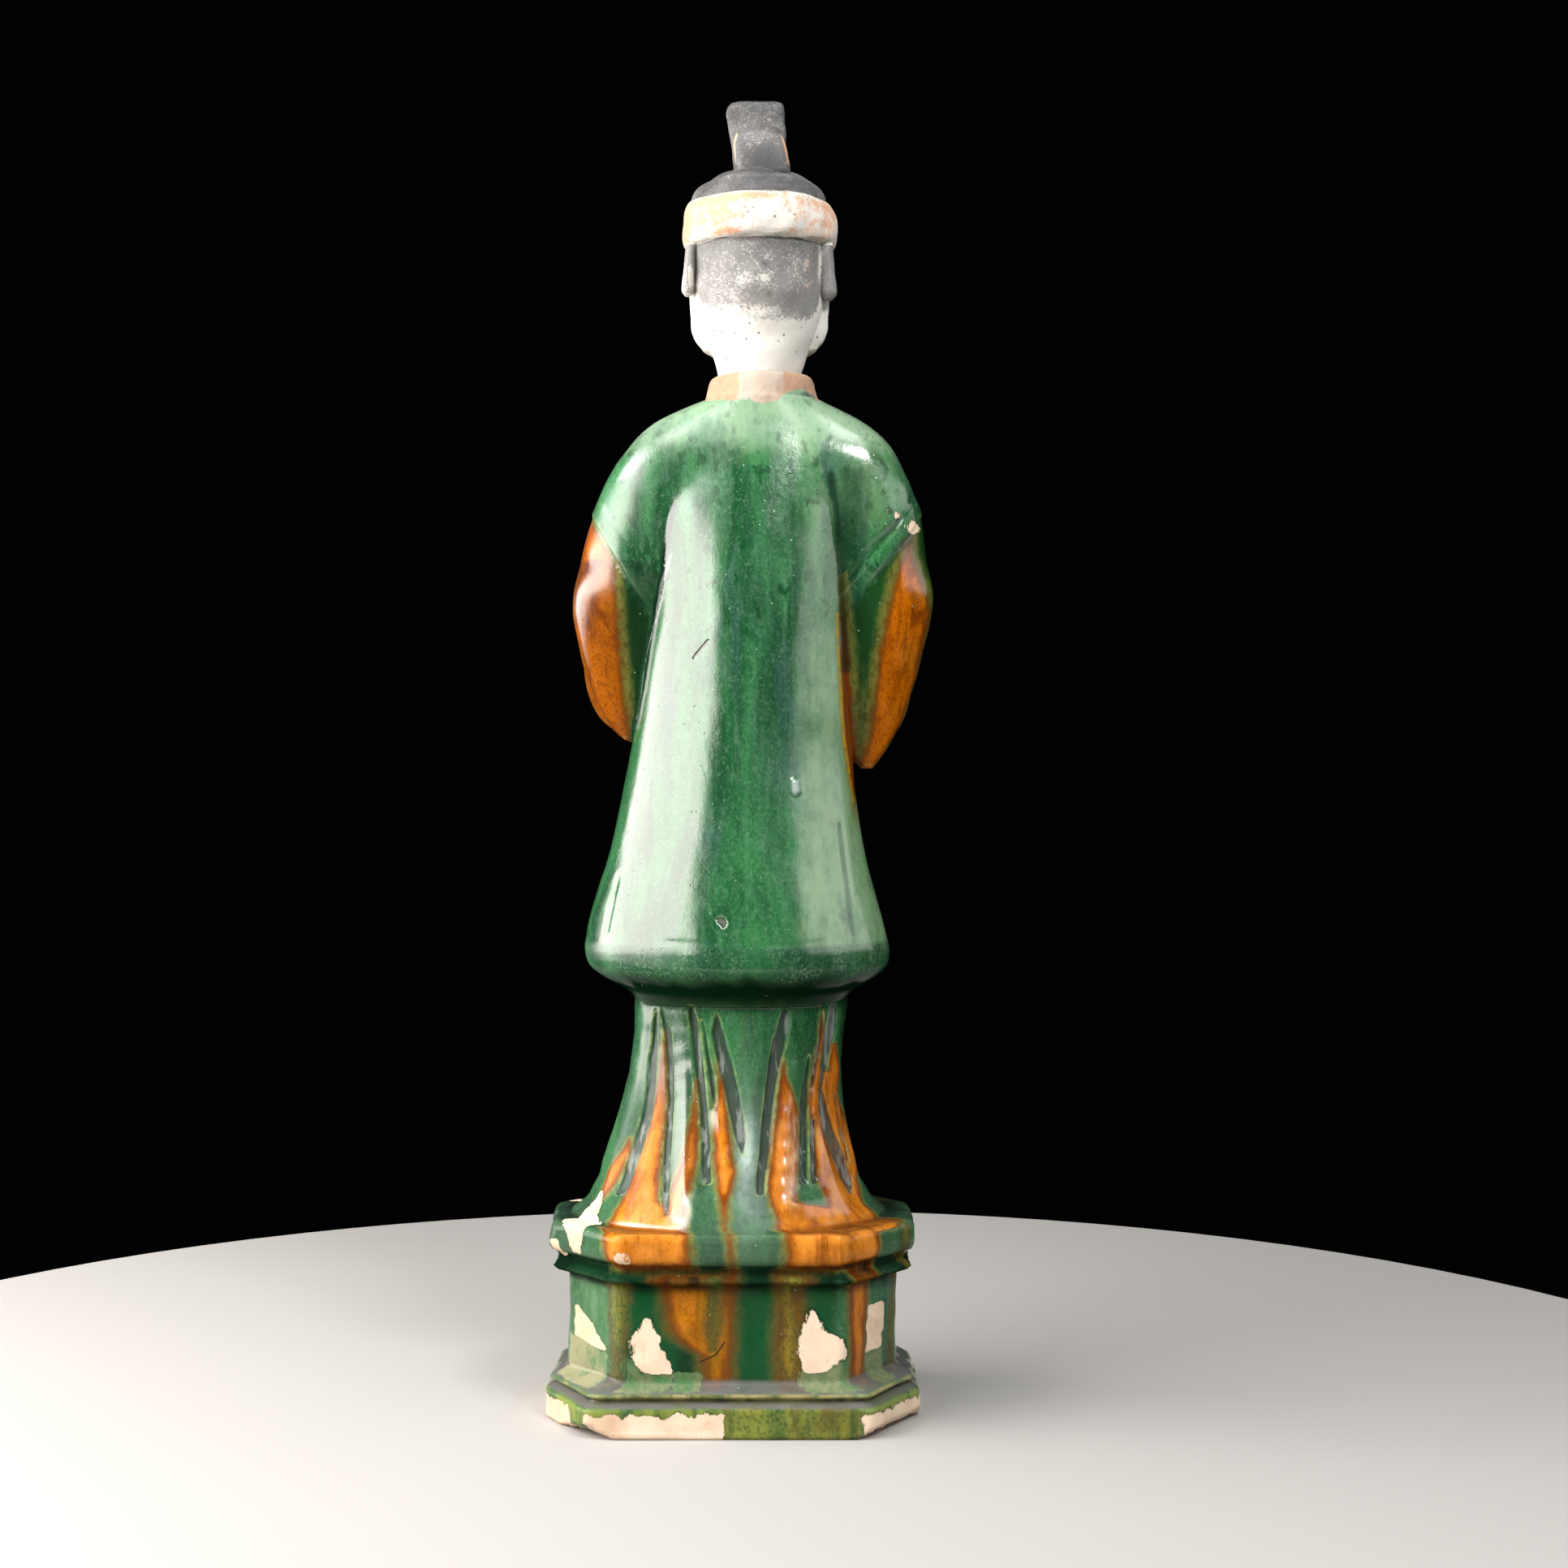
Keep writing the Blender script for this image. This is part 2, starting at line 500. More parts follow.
# outline, height, inset
MOULDING = [
    (BASE, 0, 1.2), (BASE, 1.2, 0), (BASE, 11.1, 0), (BASE, 12.3, 1.2), (RIDGE, 14.5, 2.4), (RIDGE, 16, 0),
    (RIDGE, 17.4, 1.2), (WAIST, 20.7, 0), (WAIST, 58.7, 0), (BEAD, 59.6, 1.4), (BEAD, 61, 0),
    (BEAD, 62.6, 1.2), (BEAD, 64, 2.6), (SLAB, 67, 2.6), (SLAB, 67.9, 1.2), (SLAB, 69.6, 0.3),
    (SLAB, 72, 0), (SLAB, 77.4, 0.1), (SLAB, 79, 0.7), (SLAB, 80, 1.7), (SLAB, 80.4, 3),
]
SIDE_POINTS = (36, 34, 84, 34)  # points along a short side, a cant, a long side and the next cant


def oblong(outline, inset):
    """Points round a canted oblong, evenly spaced along each side, with the corners rounded off."""
    x, y = outline[0] - inset, outline[1] - inset
    near_x, near_y = x - outline[2], y - outline[3]
    corners = np.array([(x, -near_y), (x, near_y), (near_x, y), (-near_x, y)])
    corners = np.concatenate([corners, -corners])
    points = np.concatenate([
        start + (end - start) * np.linspace(0, 1, count, endpoint=False)[:, None]
        for start, end, count in zip(corners, np.roll(corners, -1, axis=0), SIDE_POINTS * 2)
    ])
    for _ in range(5):
        points = (np.roll(points, 1, axis=0) + 2 * points + np.roll(points, -1, axis=0)) / 4
    return points


# a place on each lost face, and the way the face looks: it takes away what lies beyond it
WORN = [
    ((67, 40, 2.8), (0.62, 0.42, -0.66)),
    ((48, 56.5, 0.8), (0.45, 0.42, -0.79)),
    ((-66, 40, 4.5), (-0.60, 0.36, -0.71)),
    ((-52, 58, 1.6), (-0.10, 0.62, -0.78)),
    ((67, -40, 2.5), (0.62, -0.42, -0.66)),
    ((-67, -40, 2.5), (-0.62, -0.42, -0.66)),
    ((72.5, 24, 69), (0.86, 0.36, -0.36)),
    ((43.5, 55.9, 69.4), (0.20, 0.78, -0.60)),
    ((-46, 56, 69.2), (-0.1, 0.72, -0.68)),
]
STEP_UP = 1.5  # the plinth's rings stand at most this far apart
WAIST_MIDDLE = 40  # parts the base's worn faces from the slab's


def plinth():
    """Key outlines joined by evenly stepped rings, with a wavering surface and the worn faces cut flat."""
    keys = np.array([
        np.column_stack([oblong(outline, inset), np.full(sum(SIDE_POINTS) * 2, height)])
        for outline, height, inset in MOULDING
    ])
    counts = np.maximum(2, np.ceil(np.diff(keys[:, 0, 2]) / STEP_UP).astype(int))
    steps = [np.linspace(i, i + 1, count, endpoint=False) for i, count in enumerate(counts)]
    where = np.concatenate([*steps, [len(keys) - 1]])
    low = np.minimum(where.astype(int), len(keys) - 2)
    share = (where - low)[:, None, None]
    rings = keys[low] * (1 - share) + keys[low + 1] * share
    outward = rings * np.array([1, 1.4, 0])
    outward /= np.linalg.norm(outward, axis=-1, keepdims=True)
    wobble = 0.5 * lumps(rings, 42, 7) + 0.26 * lumps(rings, 12, 8) - 0.85
    rings = rings + outward * wobble[..., None] * smooth(rings[..., 2:], 0, 2)
    rough = 0.35 * lumps(rings, 5, 9)
    for place, way in WORN:
        way = np.array(way) / np.linalg.norm(way)
        height = rings[..., 2]
        near = smooth(height, 66.3, 67.4) if place[2] > WAIST_MIDDLE else 1 - smooth(height, 12, 16)
        beyond = np.maximum(0, (rings - np.array(place)) @ way + rough) * near
        rings = rings - beyond[..., None] * way
    rings[..., 2] = np.maximum(rings[..., 2], 0)
    return skinned("plinth", rings)


# The collar: a low ring of bare clay round the socket for the neck, with a smeared repair at the back.
# The socket is cut a little wider and deeper than the head's plug.
COLLAR_MIDDLE = np.array([-12.0, -2.0, COLLAR_TOP])
NECK_RADIUS = 16.8
PLUG_RADIUS = 13.0
PLUG_LENGTH = 16.0
CLEARANCE = 0.3


def turned(name, profile, columns, middle, waver=0.0, seed=1):
    """A form turned about an upright axis: each point of the profile is a radius and a height."""
    angle = np.linspace(0, 2 * math.pi, columns, endpoint=False)
    radius, height = np.array(profile, float).T
    rings = np.stack([
        radius[:, None] * np.cos(angle),
        radius[:, None] * np.sin(angle),
        height[:, None] + 0 * angle,
    ], axis=-1)
    shift = rings * (waver * lumps(rings, 14, seed) / np.maximum(radius[:, None], 1))[..., None]
    return skinned(name, rings + shift * np.array([1, 1, 0.4]) + middle)


collar = turned("collar", [
    (4, -21), (24.9, -21), (24.9, -15), (24.4, -13), (23.8, -11), (23.2, -9), (22.7, -7), (22.2, -5),
    (21.8, -3), (21.4, -1.8), (20.8, -0.8), (20, -0.3), (19, -0.1), (18, 0), (17, 0), (4, 0),
], 120, COLLAR_MIDDLE, 0.45, 11)
socket = turned("socket", [
    (2, -PLUG_LENGTH - CLEARANCE), (PLUG_RADIUS + CLEARANCE, -PLUG_LENGTH - CLEARANCE),
    (NECK_RADIUS + CLEARANCE, 0), (NECK_RADIUS + CLEARANCE, 6), (2, 6),
], 120, COLLAR_MIDDLE)


def fused(name, parts, holes=()):
    """One skin from closed parts that run into each other, less the holes; the parts are used up."""
    whole = parts[0]
    for other, action in [(p, "UNION") for p in parts[1:]] + [(h, "DIFFERENCE") for h in holes]:
        join = whole.modifiers.new("join", "BOOLEAN")
        join.operation = action
        join.solver = "MANIFOLD"
        join.object = other
    solid = whole.evaluated_get(bpy.context.evaluated_depsgraph_get())
    mesh = bpy.data.meshes.new_from_object(solid)
    mesh.name = name
    for part in [*parts, *holes]:
        bpy.data.objects.remove(part)
    piece = bpy.data.objects.new(name, mesh)
    bpy.context.collection.objects.link(piece)
    return piece


figure = fused("glazed_figure", [coat, skirt, plinth(), *sleeves, *lapels, *hands, collar], [socket])


def vertices_of(mesh):
    """The mesh's points in millimetres, one row each."""
    flat = np.empty(len(mesh.vertices) * 3)
    mesh.vertices.foreach_get("co", flat)
    return flat.reshape(-1, 3) / MM


def set_vertices(mesh, points):
    """Moves the mesh's points to the given rows of millimetres."""
    mesh.vertices.foreach_set("co", (points * MM).ravel())
    mesh.update()


def neighbour_mean(mesh, values):
    """For each point, the mean of a value over the points that share an edge with it."""
    ends = np.empty(len(mesh.edges) * 2, int)
    mesh.edges.foreach_get("vertices", ends)
    a, b = ends.reshape(-1, 2).T
    values = values.reshape(len(mesh.vertices), -1)
    total = np.stack([
        np.bincount(a, column[b], len(values)) + np.bincount(b, column[a], len(values))
        for column in values.T
    ], axis=1)
    count = np.bincount(ends, minlength=len(values))[:, None]
    return total / np.maximum(count, 1)


def normals_of(mesh):
    """The outward direction at each point."""
    flat = np.empty(len(mesh.vertices) * 3)
    mesh.vertex_normals.foreach_get("vector", flat)
    return flat.reshape(-1, 3)


def hollowness(mesh, rounds):
    """How far each point lies below its surroundings, in millimetres, evened out over a few rounds."""
    points = vertices_of(mesh)
    level = points
    for _ in range(rounds):
        level = neighbour_mean(mesh, level)
    return ((level - points) * normals_of(mesh)).sum(axis=1)


def keep(mesh, name, values):
    """Stores one number for each point under a name that the glazes read."""
    mesh.attributes.new(name, "FLOAT", "POINT").data.foreach_set("value", np.asarray(values, float).ravel())


# The joins are eased: the shoulders over all the rounds, and what lies hollow over the first few. In each
# round a point moves part of the way to the mean of its neighbours.
SHOULDER_ROUNDS = 40
UPPER_ROUNDS = 7  # in hollows of the sleeves and shoulders
LOWER_ROUNDS = 3  # in the other hollows above the slab
for turn_of_work in range(SHOULDER_ROUNDS):
    points = vertices_of(figure.data)
    inward = neighbour_mean(figure.data, points) - points
    sunk = (inward * normals_of(figure.data)).sum(axis=1)
    from_collar = np.hypot(points[:, 0] - COLLAR_MIDDLE[0], points[:, 1] - COLLAR_MIDDLE[1])
    shoulder = smooth(points[:, 2], 366, 392) * smooth(from_collar, 25, 30)
    rounds = np.where(points[:, 2] > 300, UPPER_ROUNDS, LOWER_ROUNDS)
    crease = (turn_of_work < rounds) * smooth(sunk, 0.06, 0.3)
    crease *= smooth(points[:, 2], SLAB_TOP + 8, SLAB_TOP + 12)
    pull = np.maximum(0.9 * shoulder, 0.6 * crease)
    set_vertices(figure.data, points + pull[:, None] * inward)

# Where the glazes lie. A run is a streak of glaze down the figure: at each height, the turns from the back's
# middle between which it shows, in degrees towards the figure's left. Out of sight, the front is given the
# back's runs over again.
MIXED_RUN = [(19, -22, -16), (36, -23, -15), (48, -23, -16), (57, -22, -16), (63, -23, -15)]
BASE_RUN = [(-2, -34, 2), (13, -34, 2)]
BASE_DRIP = [(2, 38, 45), (13, 36, 50)]
AMBER_RUNS = [
    [(89, 62, 67), (99, 57, 68), (107, 54, 61), (113, 56, 58)],
    [(66, 11.5, 36), (79.5, 12, 38), (81, 14, 47), (86, 16, 50), (90, 29, 50), (99, 32, 49), (117, 34, 47),
     (128, 36, 45), (141, 40, 45), (157, 44, 45)],
    [(86, 16, 26), (93, 16, 26), (100, 15, 24), (107, 14, 21), (116, 15, 21), (125, 17, 20), (138, 20, 21)],
    [(62, -1.2, 0), (83, -0.6, 1.4), (92, -1, 3), (98, -3, 5), (103, -4, 6), (110, -2, 7), (116, -1, 8),
     (125, 1, 9), (134, 4, 8), (145, 9, 10)],
    [(66, -48, -16), (80, -49, -16), (84, -60, -19), (91, -29, -18), (98.5, -33, -18), (107, -35, -19),
     (116, -36, -21), (124.5, -37, -23), (129, -35, -24), (138, -29, -25), (146, -27, -26)],
    [(79, -62, -40), (82, -71, -38), (86, -70, -43), (93.6, -78, -45), (101, -86, -44), (119, -82, -44),
     (128, -75, -43), (137, -73, -45), (141, -54, -46), (152, -54, -49), (164, -51, -49)],
    [(128, -75, -60), (141, -75, -61), (150, -70, -62)],
    [(19, 1, 9), (31, 0, 10), (36.5, 0, 17), (41, 0, 20), (48, 0, 21), (57, 0, 22), (63, 0, 23)],
    [(19, 0, 2), (41, -1, 8), (56, -1, 2), (62, -1.2, 0)],
    MIXED_RUN,
    [(19, -47, -38), (60, -48, -36), (66, -48, -34)],
]
OLIVE_RUNS = [
    [(19, 32, 39), (35, 31, 40), (46, 31, 41), (60, 30, 41)],
    [(19, -70, -62), (60, -71, -65), (68, -72, -64)],
    MIXED_RUN,
    BASE_RUN,
    [(33, 4, 8), (42, 2.5, 9), (50, 2, 9), (63, 1.5, 8)],
    [(66, -66, -60), (80, -66, -60)],
]
BARE_PATCHES = [
    [(79, 50, 61), (81, 52, 68), (84, 60, 71), (91, 65, 68)],
    [(69, 50, 56), (74, 49, 57), (80.5, 49, 60)],
    [(66, 62, 68), (72, 63, 68)],
    [(68.5, 28.5, 32), (73, 29, 31.5)],
    [(31.5, 40, 48), (33.5, 43, 65), (36, 48, 65), (40.5, 52, 65), (44, 58, 65), (46, 62, 64)],
    [(24.5, 19, 27), (31, 21, 31), (38, 23, 30), (43.5, 25, 28), (46.5, 27, 27)],
    [(25, -30, -23), (31, -35, -22), (36.5, -35, -22), (41, -29, -23), (46, -28, -24), (49.5, -26, -25)],
    [(29.5, -60, -48), (48, -60, -48)],
]
THIN_WASHES = [
    [(18, 41, 68), (31, 41, 68), (33.5, 46, 68)],
    [(18, 20, 32), (25, 19, 32), (30, 28, 32)],
    [(18, 10, 19), (24, 10, 19)],
    [(18, -36, -22), (25, -36, -22), (30, -36, -30)],
    [(18, -60, -48), (30, -60, -48)],
]
points = vertices_of(figure.data)
x, y, z = points.T
at_back = y > 0
facing_up = normals_of(figure.data)[:, 2]
level = (z - SLAB_TOP) / SHARE
on_coat = level > 25
on_skirt = (z > SLAB_TOP) & (z < 170)
on_plinth = z < SLAB_TOP + 0.5
half_width, lean, behind, front = np.where(on_coat[:, None], coat_shape(level), skirt_shape(level)).T * SHARE
half_width = np.where(on_plinth, WAIST[0], half_width)
lean = np.where(on_plinth, 0, lean)
depth = np.where(on_plinth, WAIST[1], np.where(at_back, behind, front))
turn = np.degrees(np.arctan2((x - lean) / half_width, np.abs(y) / depth))
whole_turn = BEHIND - np.degrees(np.arctan2(y / depth, (x - lean) / half_width))
wander = z + np.where(y < 0, 7 * lumps(points, 60, 21), 0)

amber = reach(AMBER_RUNS, turn, wander)
olive = reach(OLIVE_RUNS, turn, wander)
bare = reach(BARE_PATCHES, turn, wander)
wash = reach(THIN_WASHES, turn, wander)
pleat = np.where(on_plinth | (z > 172), -20, reach(PLEATS, whole_turn, z, SKIRT_RADIUS))

# The base's face is bare but for one broad run, a drip, and a ragged edge of glaze along its top.
GLAZE_EDGE = 9.2
ragged = GLAZE_EDGE - z + lumps(points, 7, 22)
bare = np.maximum(bare, np.minimum(ragged, -reach([BASE_RUN, BASE_DRIP], turn, z)))

# The collar is bare down to a wavering edge that climbs on the right, and so are the hands.
COLLAR_EDGE = [
    (-40, 419), (-37.5, 415.5), (-36, 414.8), (-34, 416.5), (-30.8, 418.2), (-26, 417.7), (-20.3, 415.4),
    (-18.4, 413), (-14, 411.6), (-10.8, 411.7), (-7, 413.9), (-3.2, 413.9), (8, 413.2), (12, 414.5),
    (15, 418),
]
COLLAR_EDGE_IN_FRONT = 413
collar_edge = np.where(at_back, np.interp(x, *np.array(COLLAR_EDGE).T), COLLAR_EDGE_IN_FRONT)
bare = np.maximum(bare, z - collar_edge - 0.8 * lumps(points, 9, 23))
hand_margin = np.where((y < -42.5)[:, None], [3.2, 8.0, 6.0], [1.0, 1.0, 1.0])
hand_reach = 1 - np.linalg.norm((points - at_body(HAND_MIDDLE)) / (HAND_SIZE * SHARE + hand_margin), axis=1)
bare = np.maximum(bare, hand_reach * 12)

# Long sleeves are amber on their outer side and green beside the back; the short sleeves are green.
far_out = np.hypot((x - lean) / half_width, y / depth)
on_sleeve = (z > 255) & (z < 380) & (far_out - 1 > np.where(y < -20, 0.08, 0.03))
left_edge = np.interp(z, [264, 279, 312, 345, 364], [42, 42.6, 45.6, 47.4, 52.8])
right_from = np.interp(z, [264, 279, 296, 312, 329, 345, 352], [-52, -56, -58, -60, -63, -67, -70])
right_to = np.interp(z, [264, 279, 296, 312, 329, 345, 352], [-59, -69.5, -75, -79, -82, -76, -73])
behind_amber = np.where(x > 0, x - left_edge, np.minimum(right_from - x, x - right_to))
front_amber = 5 + 7 * lumps(points, 30, 24)
sleeve_amber = np.where(y > 6, behind_amber, front_amber * smooth(y, 6, -6) + behind_amber * smooth(y, -6, 6))
below_hem = (np.where(x > 0, hem_level(LEFT_HEM, x, y), hem_level(RIGHT_HEM, x, y)) - level) * SHARE
amber = np.where(on_sleeve, np.minimum(sleeve_amber, below_hem), amber)
inner = on_sleeve * smooth(below_hem, -0.5, 0.5) * smooth(y, 0, 6)

# Flakes are gone from the right sleeve's edge: across, up, size.
CHIPS = [(-73.6, 361.5, 2.6), (-67, 366.5, 1.3), (-63.5, 367.6, 1.1)]
for chip_x, chip_z, chip_size in CHIPS:
    chip = chip_size - np.hypot(x - chip_x, z - chip_z)
    bare = np.where(at_back, np.maximum(bare, chip), bare)

# A strip of amber has seeped down between the coat and the right sleeve. It ends in a tip, and the coat is
# darker along its outer side.
seep_middle = np.interp(z, [246, 259, 277, 304, 342, 350], [-52.3, -50.2, -47.9, -46.1, -44.2, -44.0])
seep = np.interp(z, [246, 277, 310, 330, 346], [2.6, 2.6, 1.9, 0.7, -0.6]) - np.abs(x - seep_middle)
seep_tip = (z - 247) * 0.2
amber = np.where(at_back & (z > 228) & (z < 344), np.maximum(amber, np.minimum(seep, seep_tip)), amber)
seep_pool = (0.7 + 0.3 * smooth(z, 300, 325)) * smooth(seep, -0.6, 0.8) * smooth(z, 246, 262) * (z < 344)
beside_seep = between(seep_middle - x, -1, 1, 6, 14) * (z > 250) * (z < 385)


def most(*amounts):
    """The greatest of several amounts at each point."""
    return np.maximum.reduce(amounts)


# The glaze is thin over the shoulders and down the coat's right side, and pools dark under the hem and in the
# plinth's hollows, where it also turns dull. Grey scum lies on the plinth's lower slopes.
right_side = smooth(-x, 20, 36) * smooth(z, 180, 200) * at_back * (far_out - 1 < 0.04)
thin = 1.15 * smooth(z, 380, 410) + 1.1 * right_side * (1 - 0.65 * smooth(z, 285, 345))
thin += 0.3 * mound(turn, z, -2, 150, 7, 22) * (z < 172)
thin += 0.8 * (z < 60) * (z > 20) * smooth(x, 34, 44)
thin += 0.75 * mound(x, z, -56, 376, 16, 17) * at_back
under_hem = smooth(z, 164, 173) * (1 - smooth(z + 1.2 * lumps(points, 14, 47), 175.5, 181))
under_hem *= np.maximum(1 - smooth(z, 175.5, 178), smooth(-facing_up, 0.1, 0.4)) * (far_out < 1.2)
pool = most(
    under_hem,
    between(z, 55.5, 58.5, 66.5, 68.5),
    0.8 * bell(z, 14.2, 1.2),
    0.85 * mound(x, z, 18, 27, 4, 9, 2) * at_back,
    seep_pool * at_back,
    0.45 * beside_seep * at_back,
    0.6 * (x > 30) * on_sleeve * (z < 348),
    0.3 * smooth(x, 9, 15) * (on_coat & ~on_sleeve & at_back) * between(z, 188, 198, 350, 372),
    0.55 * smooth(facing_up, 0.75, 0.95) * (np.abs(z - 80.6) < 2.2),
)
glare = np.maximum(
    between(turn, -23, -20, 12, 16) * (1 - smooth(z, 116, 124)),
    between(turn, -34, -30, 12, 16) * (1 - smooth(z, 90, 95)),
)
dull = most(
    under_hem,
    0.8 * (z < SLAB_TOP - 0.3),
    between(z, 55, 58, 66.5, 68),
    (0.08 + 0.72 * smooth(x, 18, 30) - 0.3 * smooth(z, 125, 140)) * (z > 82) * (z < 170),
    0.85 * smooth(-facing_up, 0.05, 0.35),
    0.75 * inner * smooth(-amber, -2, 2),
    0.85 * bell(from_line(x, z, [(-19, 411), (-33, 399)]), 0, 8, 4) * at_back,
    0.9 * glare * (z > 79.4),
    0.75 * mound(x, z, -70, 361, 9, 9, 2) * at_back,
    0.75 * smooth(pleat, -1.6, -0.2),
)
hem_band = between(z, 174, 177, 191.6, 193.2) * on_coat
satin = 0.13 + 0.05 * (on_coat & ~on_sleeve) + 0.05 * on_skirt + 0.06 * on_skirt * (x > 20)
satin += 0.1 * smooth(z, 345, 365) * (x > 0) + 0.1 * smooth(z, 300, 338) * (x > 30) * on_sleeve
satin += 0.1 * mound(turn, z, -26, 107, 3, 20, 2) * at_back + 0.16 * hem_band * smooth(x, 10, 30)
milky = most(
    np.where(y < 0, 0.4, 0.12 + 0.7 * mound(x, z, -25, 247, 13, 28) + 0.5 * smooth(z, 385, 400)),
    mound(x, z, -6, 106, 6, 20) * at_back,
    0.8 * mound(x, z, -4, 142, 9, 16) * at_back,
    0.9 * mound(x, z, -56, 378, 15, 14) * at_back,
)
haze = 0.6 * mound(x, z, -6.2, 110, 3, 13) + 0.3 * mound(x, z, -6, 104, 8, 26) + 0.22 * smooth(z, 390, 402)
creamy = 0.8 * bell(from_line(x, z, [(-25, 92), (-26.5, 108), (-27.5, 122)]), 0, 2.6)
filler_left = np.interp(z, [411, 413, 417, 423, 427], [-3, -3.4, -1.6, -2.2, -2.6])
filler_right = np.interp(z, [411, 414, 417.5, 427], [-19, -19.6, -21.7, -21.5])
filler = np.minimum(filler_left - x, x - filler_right) + 0.8 * lumps(points, 6, 26)
slab = (z > 66.5) * (1 - 0.25 * smooth(z, 82, 90)) * (1 - smooth(z, 118, 168))

mesh = figure.data
for name, values in {
    "amber": amber, "olive": olive, "bare": bare, "wash": wash, "pleat": pleat, "thin": thin, "pool": pool,
    "dull": dull, "satin": satin, "milky": milky, "hem_band": hem_band, "inner": inner, "soft": on_sleeve,
    "under": under_hem,
    "haze": haze * at_back,
    "creamy": creamy * at_back,
    "filler": np.where((y > 5) & (z > 405), filler, -5),
    "slab": np.maximum(slab, 0.5 * (z < 66) * smooth(-x, 38, 44)),
    "slab_rim": 0.9 * bell(z, 67.6, 1.3) + 0.75 * bell(z, 80.7, 1.1),
    "gold": (z < 66) * (1 - 0.85 * smooth(-x, 38, 44)) * (1 - 0.5 * smooth(x, 38, 46)),
    "scum": between(z, 16.9, 17.5, 20.6, 21.4) + between(z, 11.6, 12.1, 13.9, 14.6),
    "ridge_top": between(z, 14.2, 14.8, 16.8, 17.4),
    "limed": smooth(z, 16.8, 15.8) * (1 - 0.5 * smooth(z, 10.6, 12)),
    "spotty": np.maximum(0.25, smooth(z, 305, 325)),
    "left_side": smooth(x, 38, 46),
    "collar": smooth(z, 395, 400),
    "hollow": hollowness(mesh, 4),
}.items():
    keep(mesh, name, values)
mesh.shade_smooth()

# The glazes: glassy green and amber lead glazes over buff clay. They are thin and pale on edges, dark where
# they pool, streaked downwards where they ran, and pitted with pinholes; bare clay is dry and matt.
GREEN_DEEP = (0.004, 0.048, 0.014, 1)
GREEN = (0.026, 0.140, 0.043, 1)
GREEN_THIN = (0.19, 0.315, 0.165, 1)
GREEN_MILKY = (0.085, 0.19, 0.12, 1)
GREEN_DARK_POOL = (0.003, 0.012, 0.006, 1)
HAZE = (0.36, 0.44, 0.40, 1)
GREEN_BLUISH = (0.030, 0.085, 0.070, 1)
UNDER_HEM = (0.003, 0.017, 0.006, 1)
SLAB_GREEN = (0.048, 0.072, 0.048, 1)
SLEEVE_GREEN = (0.007, 0.034, 0.006, 1)
LIME = (0.19, 0.225, 0.045, 1)
SCUM = (0.110, 0.105, 0.100, 1)
RIDGE_TAN = (0.32, 0.26, 0.11, 1)
HEM_GREEN = (0.006, 0.042, 0.018, 1)
HEM_SPECK = (0.13, 0.22, 0.14, 1)
BUBBLE = (0.32, 0.42, 0.33, 1)
SCRATCH = (0.03, 0.018, 0.006, 1)
AMBER = (0.44, 0.113, 0.001, 1)
AMBER_PALE = (0.52, 0.20, 0.02, 1)
AMBER_DARK = (0.12, 0.020, 0.001, 1)
AMBER_BRIGHT = (0.61, 0.222, 0.028, 1)
AMBER_CREAM = (0.78, 0.50, 0.30, 1)
GOLD = (0.18, 0.10, 0.003, 1)
GOLD_LINE = (0.42, 0.23, 0.012, 1)
AMBER_POOL = (0.011, 0.008, 0.006, 1)
OLIVE = (0.16, 0.14, 0.020, 1)
OLIVE_BROWN = (0.075, 0.045, 0.012, 1)
WASH_GREEN = (0.12, 0.165, 0.075, 1)
WASH_TAN = (0.25, 0.24, 0.135, 1)
GROOVE_GREY = (0.050, 0.064, 0.054, 1)
GROOVE_DARK = (0.014, 0.024, 0.017, 1)
GROOVE_LIGHT = (0.22, 0.24, 0.22, 1)
LIP = (0.26, 0.31, 0.10, 1)
CLAY = (0.70, 0.545, 0.405, 1)
CLAY_STAIN = (0.46, 0.28, 0.16, 1)
COLLAR_SMUDGE = (0.19, 0.095, 0.055, 1)
COLLAR_CLAY = (0.33, 0.175, 0.095, 1)
FILLER = (0.355, 0.29, 0.225, 1)


